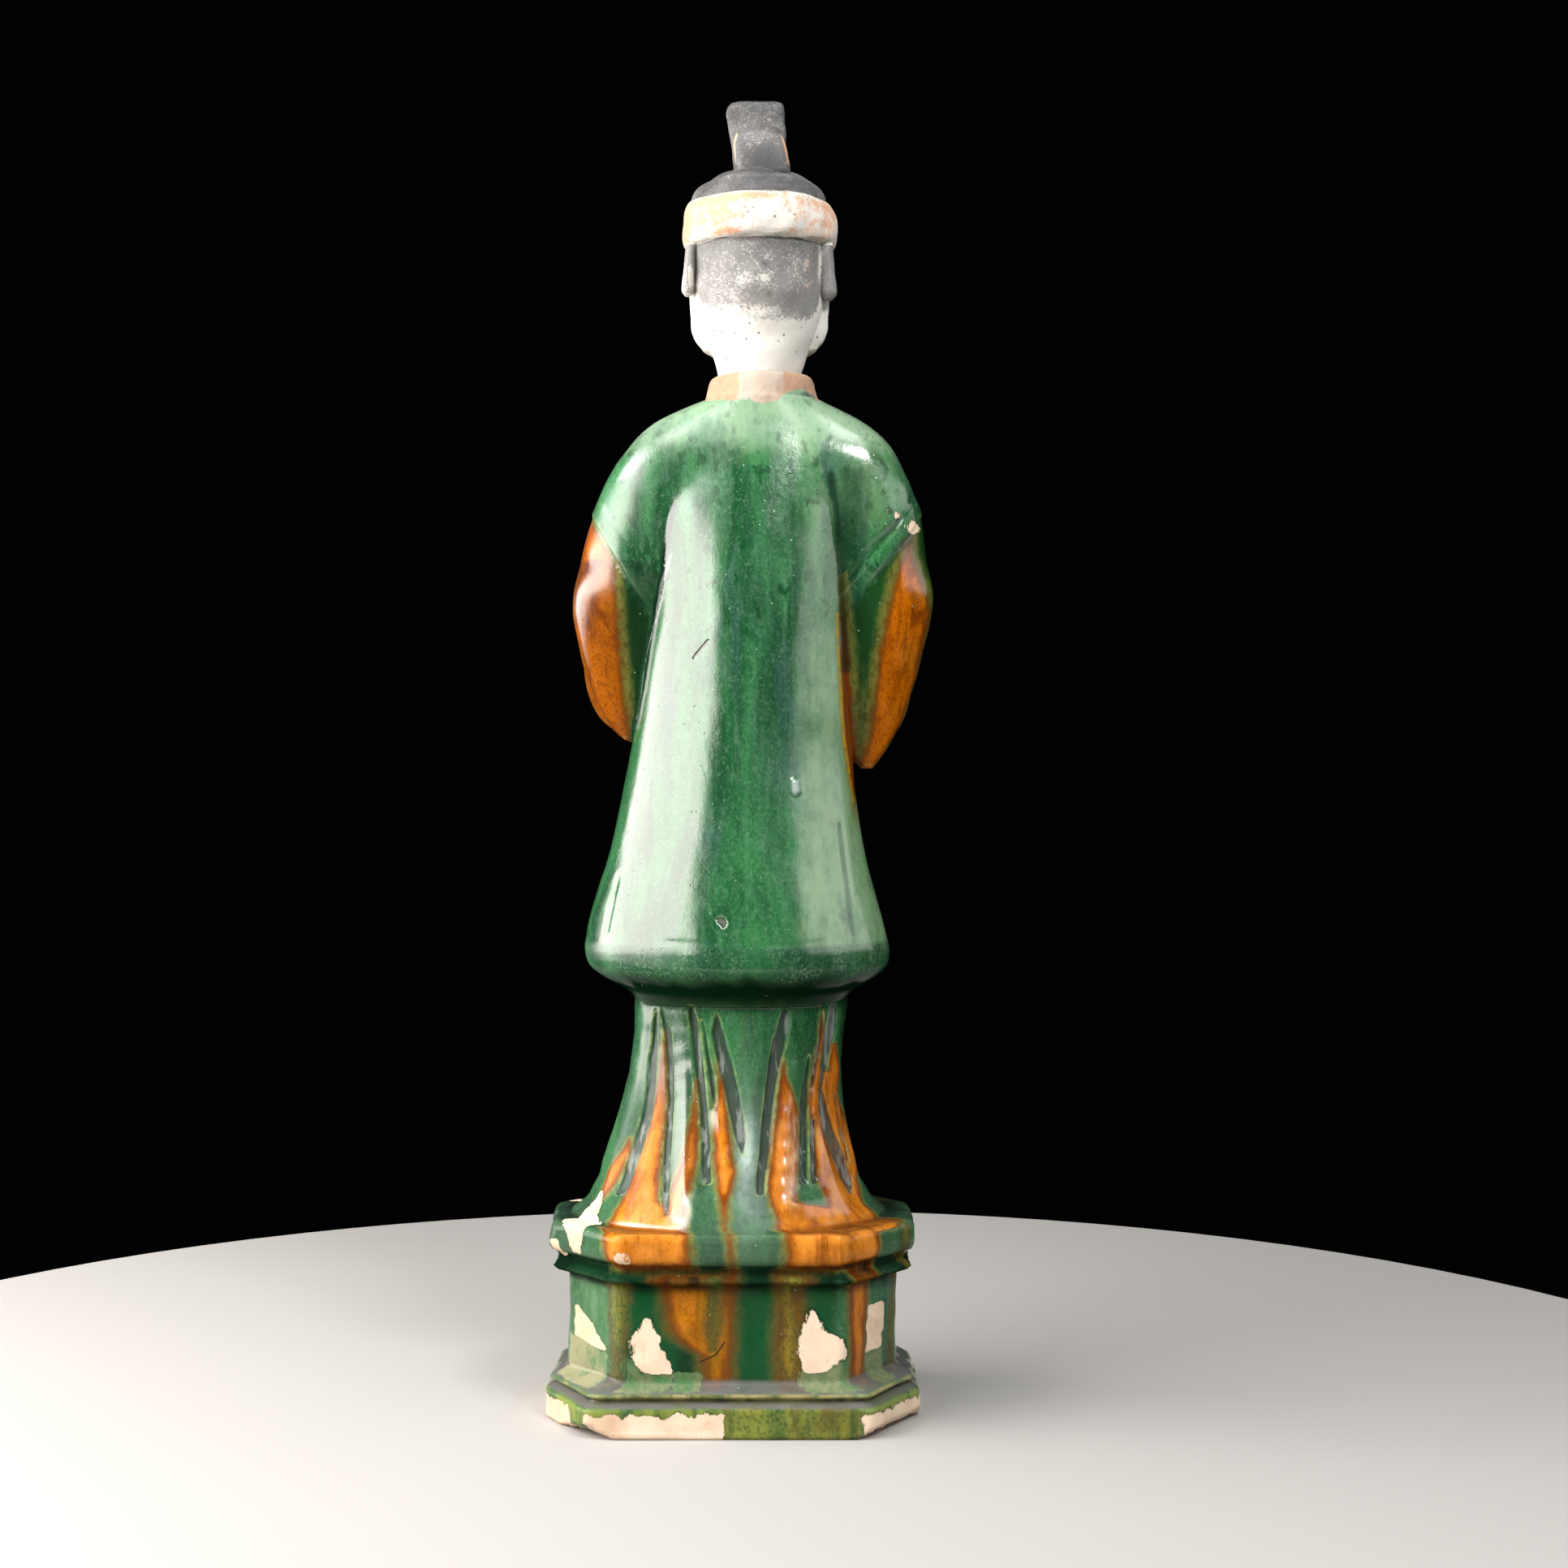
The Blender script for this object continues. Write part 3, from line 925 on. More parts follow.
class Recipe:
    """A material's nodes, put down one after another and joined by name of socket."""

    def __init__(self, name):
        self.material = bpy.data.materials.new(name)
        self.material.use_nodes = True
        self.nodes = self.material.node_tree.nodes
        self.links = self.material.node_tree.links
        self.shader = self.nodes["Principled BSDF"]
        self.place = self.nodes.new("ShaderNodeTexCoord").outputs["Object"]

    def fill(self, socket, value):
        """Gives a socket a number or a colour, or joins another node's output to it."""
        if isinstance(value, bpy.types.NodeSocket):
            self.links.new(value, socket)
        else:
            socket.default_value = value

    def put(self, kind, inputs, output, **settings):
        """A node with its settings; each input is a number, a colour or another node's output."""
        node = self.nodes.new(kind)
        for key, value in settings.items():
            setattr(node, key, value)
        for key, value in inputs.items():
            self.fill(node.inputs[key], value)
        return node.outputs[output]

    def stored(self, name):
        """A number kept on the mesh."""
        return self.put("ShaderNodeAttribute", {}, "Fac", attribute_name=name)

    def noise(self, scale, stretch=(1, 1, 1), detail=4.0, roughness=0.55, warp=0.0):
        """Cloudy noise from 0 to 1; scale is in lumps per metre, stretch squeezes it along each axis."""
        where = self.put("ShaderNodeMapping", {"Vector": self.place, "Scale": stretch}, "Vector")
        return self.put("ShaderNodeTexNoise", {
            "Vector": where, "Scale": scale, "Detail": detail, "Roughness": roughness, "Distortion": warp,
        }, "Fac")

    def cells(self, scale):
        """The distance to the nearest of many scattered points; scale is in points per metre."""
        return self.put("ShaderNodeTexVoronoi", {"Vector": self.place, "Scale": scale}, "Distance")

    def fade(self, value, low, high, to_low=0.0, to_high=1.0):
        """An S-shaped change from one number to another as the value goes from low to high."""
        return self.put("ShaderNodeMapRange", {
            "Value": value, "From Min": low, "From Max": high, "To Min": to_low, "To Max": to_high,
        }, "Result", interpolation_type="SMOOTHSTEP")

    def sums(self, operation, first, *others):
        """Numbers added, multiplied and so on, one after another."""
        for other in others:
            first = self.put("ShaderNodeMath", {0: first, 1: other}, 0, operation=operation)
        return first

    def plus(self, *numbers):
        """The sum of some numbers."""
        return self.sums("ADD", *numbers)

    def times(self, *numbers):
        """The product of some numbers."""
        return self.sums("MULTIPLY", *numbers)

    def weighed(self, *parts):
        """The sum of some numbers, each of them times its weight."""
        return self.plus(*[self.times(*part) for part in parts])

    def blend(self, share, first, second):
        """A colour between two others."""
        node = self.nodes.new("ShaderNodeMix")
        node.data_type = "RGBA"
        for key, value in (("Factor_Float", share), ("A_Color", first), ("B_Color", second)):
            self.fill(next(s for s in node.inputs if s.identifier == key), value)
        return next(s for s in node.outputs if s.identifier == "Result_Color")

    def over(self, colour, *coats):
        """Tones laid over a colour in turn. A coat is its tone and one or more shares, multiplied."""
        for tone, *shares in coats:
            colour = self.blend(self.times(*shares), colour, tone)
        return colour

    def arrow(self, operation, inputs, output="Vector"):
        """Arithmetic on places and directions."""
        return self.put("ShaderNodeVectorMath", inputs, output, operation=operation)

    def from_stroke(self, start, end, waver):
        """Millimetres from a straight stroke on the back between two places, across and up: the distance to
        the nearest point along it, with a little waver; in front it is far away."""
        way = np.subtract(end, start)
        step = way / (way @ way)
        flat = self.arrow("MULTIPLY", {0: self.place, 1: (1000, 0, 1000)})
        offset = self.arrow("SUBTRACT", {0: flat, 1: (start[0], 0, start[1])})
        share = self.arrow("DOT_PRODUCT", {0: offset, 1: (step[0], 0, step[1])}, "Value")
        share = self.put("ShaderNodeClamp", {"Value": share}, "Result")
        foot = self.arrow("SCALE", {0: (way[0], 0, way[1]), "Scale": share})
        apart = self.arrow("DISTANCE", {0: offset, 1: foot}, "Value")
        depth = self.put("ShaderNodeSeparateXYZ", {"Vector": self.place}, "Y")
        apart = self.plus(apart, self.fade(depth, 0.004, 0, 0, 99))
        return self.plus(apart, self.times(self.sums("SUBTRACT", self.noise(500), 0.5), waver * 2))

    def from_strokes(self, *places, waver=0.4):
        """Millimetres from a line drawn on the back through a few places: the least over its strokes."""
        ends = zip(places[:-1], places[1:])
        return self.sums("MINIMUM", *[self.from_stroke(start, end, waver) for start, end in ends])

    def bump(self, height, distance, strength=1.0):
        """A bumped normal; distance is in metres."""
        return self.put(
            "ShaderNodeBump", {"Height": height, "Distance": distance, "Strength": strength}, "Normal")

    def finish(self, **sockets):
        """Fills the shader's sockets, linked or plain."""
        for key, value in sockets.items():
            self.fill(self.shader.inputs[key.replace("_", " ").title().replace("Ior", "IOR")], value)
        return self.material


def glaze():
    """The whole fired finish of the body: green, amber, olive and washed glaze, and bare clay."""
    paint = Recipe("lead_glazes")
    stored, noise, fade, sums, times = paint.stored, paint.noise, paint.fade, paint.sums, paint.times
    streaks = noise(70, (1, 1, 0.16), 5, 0.6, 0.5)
    clouds = noise(26, (1, 1, 0.45), 5, 0.6, 0.4)
    mottle = noise(420, (1, 1, 0.6), 4, 0.65)
    spots = noise(250, (1, 1, 0.6), 2, 0.5)
    threads = noise(260, (1, 1, 0.10), 4, 0.6)
    patchy = noise(75, (1, 1, 0.7), 6, 0.68)
    flecks = noise(900, (1, 1, 0.8), 3, 0.6)
    washed = noise(150, (1, 1, 0.1), 5, 0.6, 0.3)
    bluish = noise(48, (1, 1, 0.35), 5, 0.65, 0.8)
    ragged_edge = sums("SUBTRACT", noise(330, (1, 1, 0.45), 6, 0.72), 0.5)
    hollow = stored("hollow")
    low_down = stored("gold")
    pool = times(stored("pool"), fade(streaks, 0.3, 0.6, 1.1, 0.8))
    spotted = times(fade(spots, 0.57, 0.68), stored("spotty"))

    # Green: streaked and clouded, speckled, thin over ridges and dark in hollows.
    thin = times(fade(patchy, 0.36, 0.62, 0.5, 1.05), fade(washed, 0.35, 0.62, 0.7, 1.05))
    thin = times(stored("thin"), thin)
    speckle = fade(noise(800, (1, 1, 1), 4, 0.75), 0.48, 0.60, 0, 0.85)
    banded = paint.blend(times(speckle, fade(patchy, 0.42, 0.6, 0.12, 1)), HEM_GREEN, HEM_SPECK)
    green = paint.over(
        paint.blend(fade(streaks, 0.36, 0.62), GREEN_DEEP, GREEN),
        (GREEN_MILKY, fade(clouds, 0.44, 0.64, 0.1, 0.9), stored("milky")),
        (GREEN_BLUISH, fade(bluish, 0.52, 0.66, 0, 0.52)),
        (GREEN_MILKY, fade(threads, 0.5, 0.72, 0, 0.3)),
        (GREEN_MILKY, fade(mottle, 0.48, 0.85, 0, 0.3)),
        (GREEN_DEEP, spotted, 0.9),
        (GREEN_DEEP, fade(flecks, 0.53, 0.64, 0, 0.45)),
        (GREEN_THIN, fade(flecks, 0.45, 0.34, 0, 0.18)),
        (GREEN_THIN, fade(thin, 0, 1, 0, 0.85)),
        (GREEN_DEEP, spotted, 0.45),
        (banded, stored("hem_band"), fade(clouds, 0.35, 0.6, 0.35, 0.85)),
        (GREEN_THIN, fade(hollow, -0.08, -0.6, 0, 0.45)),
        (GREEN_DARK_POOL, fade(hollow, 0.06, 0.6, 0, 0.9)),
        (GREEN_DEEP, low_down, 0.92),
        (SLAB_GREEN, stored("slab"), 0.5),
        (SLEEVE_GREEN, stored("inner"), 0.9),
        (LIME, stored("limed"), fade(streaks, 0.36, 0.5, 0.1, 0.9)),
        (HAZE, stored("haze"), fade(mottle, 0.35, 0.6, 0.7, 1)),
        (GREEN_DARK_POOL, pool),
    )

    # Amber: warmer and brighter on the slab, golden low down, with a dark rim inside its edge.
    amber_reach = paint.plus(stored("amber"), times(ragged_edge, 4.0))
    amber = paint.over(
        paint.blend(fade(streaks, 0.34, 0.60), AMBER_DARK, AMBER),
        (AMBER_PALE, fade(clouds, 0.48, 0.78, 0, 0.6)),
        (AMBER_DARK, spotted, 0.6),
        (AMBER_DARK, fade(patchy, 0.50, 0.66, 0, 0.65)),
        (AMBER_DARK, fade(flecks, 0.52, 0.64, 0, 0.55)),
        (AMBER_PALE, fade(hollow, -0.05, -0.5, 0, 0.7)),
        (AMBER_DARK, fade(hollow, 0.06, 0.6, 0, 0.8)),
        (AMBER_BRIGHT, stored("slab"), fade(patchy, 0.38, 0.60, 0.3, 1.0), fade(streaks, 0.35, 0.55, 0.6, 1)),
        (AMBER_DARK, fade(threads, 0.52, 0.68, 0, 0.5)),
        (AMBER_CREAM, stored("creamy"), fade(mottle, 0.35, 0.6, 0.5, 1)),
        (AMBER_DARK, stored("slab_rim"), fade(patchy, 0.36, 0.58, 0.1, 1)),
        (GOLD, low_down, fade(streaks, 0.35, 0.6, 0.95, 0.35)),
        (AMBER_POOL, pool, 0.95),
        (AMBER_DARK, fade(amber_reach, 3.6, 0.6, 0, 0.85)),
    )
    amber_reach = times(amber_reach, fade(low_down, 0, 1, 1, 0.55), fade(stored("soft"), 0, 1, 1, 0.5))

    # Olive: where the two have run together, browner at its edges.
    olive = paint.over(
        paint.blend(fade(streaks, 0.33, 0.60), GREEN_DEEP, OLIVE),
        (OLIVE_BROWN, fade(threads, 0.52, 0.66, 0, 0.6)),
        (LIME, stored("limed"), fade(clouds, 0.35, 0.6, 0.1, 0.7)),
        (OLIVE_BROWN, fade(patchy, 0.46, 0.60, 0, 0.85)),
        (OLIVE_BROWN, fade(stored("olive"), 3.2, 0.4, 0, 0.75)),
        (GREEN_DEEP, fade(flecks, 0.50, 0.62, 0, 0.7)),
    )
    inside_olive = fade(paint.plus(stored("olive"), times(ragged_edge, 6.0)), -1.4, 1.6)

    # Lines in the glaze on the back: a gold thread, dark grooves beside the sleeves, the left one with a
    # silvery edge, the short sleeve's creases and a fold.
    thread = paint.from_strokes((-42.6, 326), (-43.4, 304), (-45.4, 277), (-49.6, 250))
    right_groove = paint.from_strokes((-39.8, 382), (-43.0, 364), (-44.3, 342), (-46.5, 304))
    left_groove = paint.from_strokes((23.5, 370), (31.3, 328), (38.9, 282))
    silver = paint.from_strokes((24.9, 350), (28.7, 338), (35.3, 297), (39.1, 280))
    upper_crease = paint.from_strokes((-69.5, 365.4), (-49, 349), waver=1.6)
    lower_crease = paint.from_strokes((-74, 359.5), (-63.4, 348.7), (-53, 336), waver=1.6)
    creases = sums("MINIMUM", upper_crease, lower_crease)
    sideways = paint.put("ShaderNodeSeparateXYZ", {"Vector": paint.place}, "X")
    creased = times(fade(patchy, 0.36, 0.56, 0.1, 1), fade(sideways, -0.049, -0.066))
    fold = paint.from_strokes(*RIGHT_FOLD)

    # Pleats: troughs full of dull dark glaze with pale threads.
    pleat = stored("pleat")
    trough = paint.over(
        paint.blend(fade(pleat, 0.6, 1.4), GROOVE_DARK, GROOVE_GREY),
        (GROOVE_DARK, fade(streaks, 0.42, 0.60, 0, 0.5)),
        (GROOVE_LIGHT, fade(threads, 0.50, 0.62, 0, 0.75)),
    )

    # Washes and bare clay, with the filler and the smudges on the collar.
    inside_wash = fade(paint.plus(stored("wash"), times(ragged_edge, 8.0)), -0.4, 0.4)
    wash = paint.over(
        paint.blend(fade(mottle, 0.42, 0.6, 0, 0.5), WASH_GREEN, WASH_TAN),
        (WASH_TAN, stored("left_side")),
        (GREEN, fade(patchy, 0.46, 0.64, 0, 0.7)),
    )
    bare = paint.plus(stored("bare"), times(ragged_edge, 6.0))
    inside_bare = fade(bare, -0.22, 0.22)
    clay = paint.over(
        paint.blend(fade(noise(90, (1, 1, 1), 5, 0.6), 0.45, 0.8, 0, 0.55), CLAY, CLAY_STAIN),
        (CLAY_STAIN, stored("left_side"), 0.42),
        (COLLAR_CLAY, fade(stored("collar"), 0, 1, 0, 0.9)),
        (FILLER, fade(paint.plus(stored("filler"), times(ragged_edge, 5.0)), -0.3, 0.5)),
        (COLLAR_SMUDGE, fade(patchy, 0.44, 0.62, 0, 0.45), stored("collar")),
        (CLAY_STAIN, fade(mottle, 0.56, 0.75, 0, 0.6)),
    )

    # Small scars: bubbles, a hanging drop, a pit, a gouge and a crack.
    drop = paint.from_strokes((-25.4, 257.4), (-25.7, 254.2), waver=0.1)
    pit = paint.from_strokes((4.0, 203.2), (2.9, 201.6), waver=1.1)
    gouge = paint.from_strokes((15.1, 307.7), (9.6, 314.3))
    crack = paint.from_strokes((2.5, 36.5), (6, 31.5), (12, 28.7))

    colour = paint.over(
        green,
        (amber, fade(amber_reach, -1.9, 1.6)),
        (LIME, fade(amber_reach, -2.4, -0.5), fade(amber_reach, 1.2, -0.6), fade(mottle, 0.35, 0.6, 0.3, 1),
         fade(low_down, 0, 1, 0.42, 0.1)),
        (olive, inside_olive, 0.8),
        (GOLD_LINE, fade(thread, 0.9, 0.25, 0, 0.9), fade(mottle, 0.42, 0.52, 0.4, 1)),
        (GREEN_DARK_POOL, fade(right_groove, 3.2, 0.4, 0, 0.75)),
        (GREEN_DARK_POOL, fade(left_groove, 1.8, 0.4, 0, 0.8)),
        (GROOVE_LIGHT, fade(silver, 1.0, 0.3, 0, 0.85), fade(patchy, 0.36, 0.54, 0.25, 1)),
        (GREEN_DARK_POOL, fade(creases, 3.4, 0.6, 0, 0.6), creased),
        (GROOVE_LIGHT, fade(creases, 1.4, 0.2, 0, 0.3), creased),
        (GREEN_DEEP, fade(fold, 0.9, 0.3, 0, 0.6)),
        (trough, fade(pleat, -0.1, 0.9, 0, 0.88)),
        (LIP, fade(pleat, -1.0, -0.35), fade(pleat, 0.35, -0.1), fade(patchy, 0.40, 0.60, 0.12, 1),
         fade(mottle, 0.40, 0.62, 0.1, 0.7)),
        (SCUM, stored("scum"), fade(streaks, 0.40, 0.62, 0.95, 0.6)),
        (RIDGE_TAN, stored("ridge_top"), fade(streaks, 0.38, 0.58, 0.1, 0.75)),
        (wash, inside_wash, 0.85),
        (GREEN_DARK_POOL, fade(bare, -1.3, -0.3), fade(patchy, 0.42, 0.62, 0.05, 0.7),
         fade(stored("collar"), 0, 1, 1, 0.15)),
        (UNDER_HEM, stored("under")),
        (clay, inside_bare),
        (BUBBLE, fade(paint.cells(190.0), 0.07, 0.04), fade(bare, 0, -0.5), fade(patchy, 0.46, 0.54), 0.8),
        (HAZE, fade(drop, 1.9, 0.8, 0, 0.85)),
        (GREEN_THIN, fade(pit, 2.2, 1.5, 0, 0.45)),
        (GREEN_DARK_POOL, fade(pit, 1.6, 1.1, 0, 0.8)),
        (SCUM, fade(pit, 1.0, 0.5, 0, 0.9)),
        (SCRATCH, fade(gouge, 0.8, 0.35)),
        (GREEN_DARK_POOL, fade(crack, 0.45, 0.15, 0, 0.85)),
    )

    # Glassy where it is fired, dry on clay, and waved, pinholed and grained.
    shine = paint.plus(fade(mottle, 0.3, 0.8, -0.03, 0.05), stored("satin"))
    dry = paint.put("ShaderNodeMath", {0: inside_bare, 1: 0.72, 2: shine}, 0, operation="MULTIPLY_ADD")
    relief = paint.weighed(
        (noise(110, (1, 1, 0.5), 3, 0.5), 0.8),
        (noise(1300, (1, 1, 1), 3, 0.6), 0.22),
        (sums("MAXIMUM", fade(paint.cells(260.0), 0.05, 0.15), fade(spots, 0.5, 0.45)), 0.35),
        (fade(gouge, 1.0, 0.3), -1.2),
        (fade(drop, 2.9, 0.0), 9.0),
        (fade(pit, 2.2, 1.0), -1.6),
    )
    gloss = fade(stored("dull"), 0.0, 1.0, 0.5, 0.0)
    bumps = paint.bump(relief, 0.0005, 0.4)
    return paint.finish(base_color=colour, roughness=dry, normal=bumps, ior=1.8, specular_ior_level=gloss)


mesh.materials.clear()
mesh.materials.append(glaze())
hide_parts("robed_body")
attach(figure, "root")

# The head: hollow-moulded in the same clay but made apart, its neck stood in the collar's socket. It is
# covered in white slip and painted cold, in black on the hair, ears and cap. The skull, the face, the ears,
# the band and the cap with its tab and folded strap are worked out one by one and fused.
HEAD_HEIGHT = 114.2
HEAD_SHARE = HEAD_HEIGHT / 100  # the head's shapes are in hundredths of its height
HEAD_MIDDLE = np.array([-10.8, -2.0])
on_neck = np.array([*HEAD_MIDDLE, COLLAR_TOP])

# level, half width, depth behind, depth in front
nape_shape = through([
    (0, 14.7, 14.7, 14.7), (1, 15, 15, 15), (7, 16.8, 16.4, 14), (13, 19.4, 17.4, 12), (20, 21.8, 19.6, 12),
    (30, 23.8, 23.4, 12), (40, 24.8, 25, 12), (54, 24.6, 25, 12),
])
jaw_shape = through([
    (7.5, 9, 2, 15), (9, 17.4, 4, 22), (12, 22, 5, 26), (16, 24.4, 6, 27.4), (22, 25, 6.5, 27.6),
    (32, 25.6, 7, 27), (44, 26, 8, 27), (54, 25.6, 8, 26),
])


def head_rings(shape, angle, level):
    """Points of the head: an oval at each level, deeper or shallower behind than in front."""
    half, behind, front = np.moveaxis(shape(level) * HEAD_SHARE, -1, 0)
    depth = np.where(np.sin(angle) > 0, behind, front)
    x = HEAD_MIDDLE[0] + half * np.cos(angle)
    y = HEAD_MIDDLE[1] + depth * np.sin(angle)
    return np.stack([x, y, COLLAR_TOP + level * HEAD_SHARE], axis=-1)


nape_angle, nape_level = round_and_up(180, (0, 54, 96))
nape_points = head_rings(nape_shape, nape_angle, nape_level)
nape_outward = (nape_points - [*HEAD_MIDDLE, 0]) * [1, 1, 0] / 25
nape_points += nape_outward * (0.25 * lumps(nape_points, 14, 31))[..., None]
nape = skinned("nape", nape_points)
plug = turned("plug", [
    (6, -PLUG_LENGTH), (PLUG_RADIUS, -PLUG_LENGTH), (NECK_RADIUS, 0), (NECK_RADIUS, 1.5), (6, 1.5),
], 120, on_neck)

EYE = 10.8  # across from the middle


def lid_line(side):
    """The height at which the eyelids meet: a shallow parabola, lowest at the eye's middle."""
    return 36.9 + 0.025 * (side - EYE) ** 2


def brow_line(side):
    """The height of the eyebrow: a shallow parabola, highest over the eye."""
    return 44.2 - 0.022 * (side - 9) ** 2


def features(u, v):
    """How far the face stands forward, in millimetres, at u across and v above the neck: calm and even, with
    its eyes at half the height from chin to crown and the nose and mouth below them in equal steps."""
    side = np.abs(u)
    ridge = np.interp(v, [22.6, 24.0, 25.4, 27.4, 31, 36, 41, 46], [0, 3.0, 6.1, 6.4, 5.0, 3.0, 1.4, 0])
    half = np.interp(v, [23, 27, 31, 36, 42], [4.4, 4.2, 3.2, 2.6, 3.2])
    nose = ridge * bell(side, 0, half, 2.2)
    nose += 2.3 * mound(side, v, 4.1, 26.0, 2.1, 2.0) - 0.9 * mound(side, v, 2.1, 23.7, 1.0, 0.8)
    eye = -2.0 * mound(side, v, 10.4, 38.6, 7.6, 4.6) + 2.3 * mound(side, v, EYE, 37.7, 5.6, 3.0, 1.6)
    in_eye = 1 - smooth(np.abs(side - EYE), 4.4, 6.2)
    eye -= 0.55 * in_eye * bell(v, lid_line(side), 0.5)
    eye -= 0.35 * in_eye * bell(v, 40.9 - 0.05 * (side - EYE) ** 2, 0.6)
    brow = 0.8 * between(side, 3, 6, 16, 20) * bell(v, brow_line(side), 1.6)
    cheeks = 1.8 * mound(side, v, 13.5, 27, 7.5, 7.5) - 0.5 * mound(side, v, 9.5, 22, 2.2, 4)
    upper = 1.9 * mound(side, v, 2.2, 21.4, 4.8, 1.6, 1.3) - 0.5 * mound(u, v, 0, 23.2, 1.0, 1.2)
    lower = 2.0 * mound(u, v, 0, 17.9, 5.2, 1.8, 1.3)
    mouth_line = 0.8 * (1 - smooth(side, 5.4, 7.6)) * bell(v, 19.6 + 0.014 * side**2, 0.55)
    corner = 0.7 * mound(side, v, 7.4, 20.2, 1.6, 1.6)
    chin = 3.2 * mound(u, v, 0, 11.6, 7.0, 4.2) - 1.1 * mound(u, v, 0, 15.2, 5.5, 1.5)
    return nose + eye + brow + cheeks + upper + lower - mouth_line - corner + chin


face_angle = np.radians(270) + np.linspace(-math.pi, math.pi, 260, endpoint=False)
face_angle -= 0.35 * np.sin(face_angle - math.radians(270))  # more columns towards the front
face_angle, face_level = np.meshgrid(face_angle, np.linspace(7.5, 54, 130))
face_points = head_rings(jaw_shape, face_angle, face_level)
facing = smooth(-np.sin(face_angle), 0.15, 0.55)
forward = features(face_points[..., 0] - HEAD_MIDDLE[0], face_points[..., 2] - COLLAR_TOP)
face_points[..., 1] -= facing * forward
face = skinned("face", face_points)

BAND_LOW = 53.1
BAND_HIGH = 71.3
band_profile = [
    (2, BAND_LOW), (27.6, BAND_LOW), (29.6, BAND_LOW + 0.2), (30.9, BAND_LOW + 0.9), (31.8, BAND_LOW + 2.4),
    (32.2, BAND_LOW + 4.5), (32.3, BAND_LOW + 7), (32.2, BAND_LOW + 9.5), (31.8, BAND_LOW + 12),
    (31.2, BAND_LOW + 14), (30.4, BAND_LOW + 15.8), (29.6, BAND_LOW + 17.2), (28.8, BAND_HIGH),
    (2, BAND_HIGH),
]
CAP_RISE = 14.2
CAP_RADIUS = 28.3


def rounder(profile, steps):
    """A profile with more points: straight lines between the given ones, split evenly."""
    profile = np.array(profile, float)
    where = np.linspace(0, len(profile) - 1, steps)
    return np.stack([np.interp(where, np.arange(len(profile)), column) for column in profile.T], axis=1)


def deeper(part):
    """The band and the cap are a little deeper than wide."""
    points = vertices_of(part.data)
    points[:, 1] = HEAD_MIDDLE[1] + (points[:, 1] - HEAD_MIDDLE[1]) * 1.05
    set_vertices(part.data, points)
    return part


band = deeper(turned("band", rounder(band_profile, 46), 180, on_neck, 0.5, 32))
climb = np.linspace(0, 0.48, 30) * math.pi
dome = [(CAP_RADIUS * math.cos(t), BAND_HIGH + CAP_RISE * math.sin(t)) for t in climb]
cap = deeper(turned("cap", [(2, 66), (CAP_RADIUS, 66), *dome], 150, on_neck, 0.35, 33))


def upright(name, rows, corner, columns=96, seed=1):
    """A slab or strap standing on the cap: at each height, an oblong with rounded corners, a superellipse
    between its left, right, near and far faces."""
    heights = np.linspace(rows[0][0], rows[-1][0], 48)
    left, right, near, far = through(rows)(heights).T[:, :, None]
    angle = np.linspace(0, 2 * math.pi, columns, endpoint=False)
    across, deep = squared(angle, corner)
    rings = np.stack([
        (left + right) / 2 + (left - right) / 2 * across,
        (near + far) / 2 + (near - far) / 2 * deep,
        heights[:, None] + 0 * angle,
    ], axis=-1)
    rings[..., :2] += 0.25 * lumps(rings, 12, seed)[..., None] * np.stack([across, deep], axis=-1)
    return skinned(name, rings)


# height, left, right, near and far face
tab = upright("tab", [
    (500, -0.2, -22.2, 5.2, -2.2), (506, -0.2, -22.2, 5.2, -2.2), (513, -0.1, -22.1, 5.2, -2.2),
    (522.7, 0.7, -21.5, 5.2, -2.2), (530.5, 2.4, -21.3, 5.2, -2.2), (535.3, 2.7, -21.1, 5.1, -2.1),
    (537.6, 1.9, -20.6, 4.7, -1.7), (539, 0.4, -19.6, 4.0, -1.0), (539.6, -1.6, -17.8, 3.0, 0.2),
], 0.36, seed=34)
strap = upright("strap", [
    (504, -6, -20, 9, 2), (506.6, -3.4, -22.6, 12.6, 2), (508, -2.0, -23.4, 13.6, 2),
    (510.5, -1.4, -23.5, 14.2, 2), (514, -0.8, -22.9, 14.5, 2), (520, -0.4, -21.4, 13.8, 2),
    (524.8, -1.6, -19.6, 11.6, 2), (527.2, -3.6, -18.8, 8.6, 2), (528.6, -6, -17.4, 5.6, 2),
], 0.5, seed=35)
left_ear = upright("left_ear", [
    (458.6, 19.8, 17.6, 6.6, 3), (460, 20.8, 16.6, 8.2, 1.4), (463, 21.0, 15.8, 9.6, 0),
    (468, 20.6, 15.4, 11, -2), (474, 20.4, 14.6, 11.4, -2.8), (480, 19.6, 13, 10, -2),
    (484, 17.6, 12, 7, 1),
], 0.8, 72, 36)
right_ear = upright("right_ear", [
    (457, -38.2, -40.6, 6.6, 3), (458.6, -36.6, -42.2, 8.4, 1.4), (462, -35.6, -42.8, 9.8, 0),
    (468, -34.8, -42.4, 11, -2), (474, -34.2, -42, 11.4, -2.8), (480, -33, -41.2, 10, -2),
    (484, -32, -39, 7, 1),
], 0.8, 72, 37)
# the hollow of each ear's shell
SHELL_DEPTH = 1.6
for ear in (left_ear, right_ear):
    points = vertices_of(ear.data)
    out = np.sign(points[:, 0] - HEAD_MIDDLE[0])
    outer_side = out * normals_of(ear.data)[:, 0] > 0.3
    shell = mound(points[:, 1], points[:, 2], 3.4, 472, 3.6, 6.2, 1.4) * outer_side
    points[:, 0] -= SHELL_DEPTH * out * shell
    set_vertices(ear.data, points)

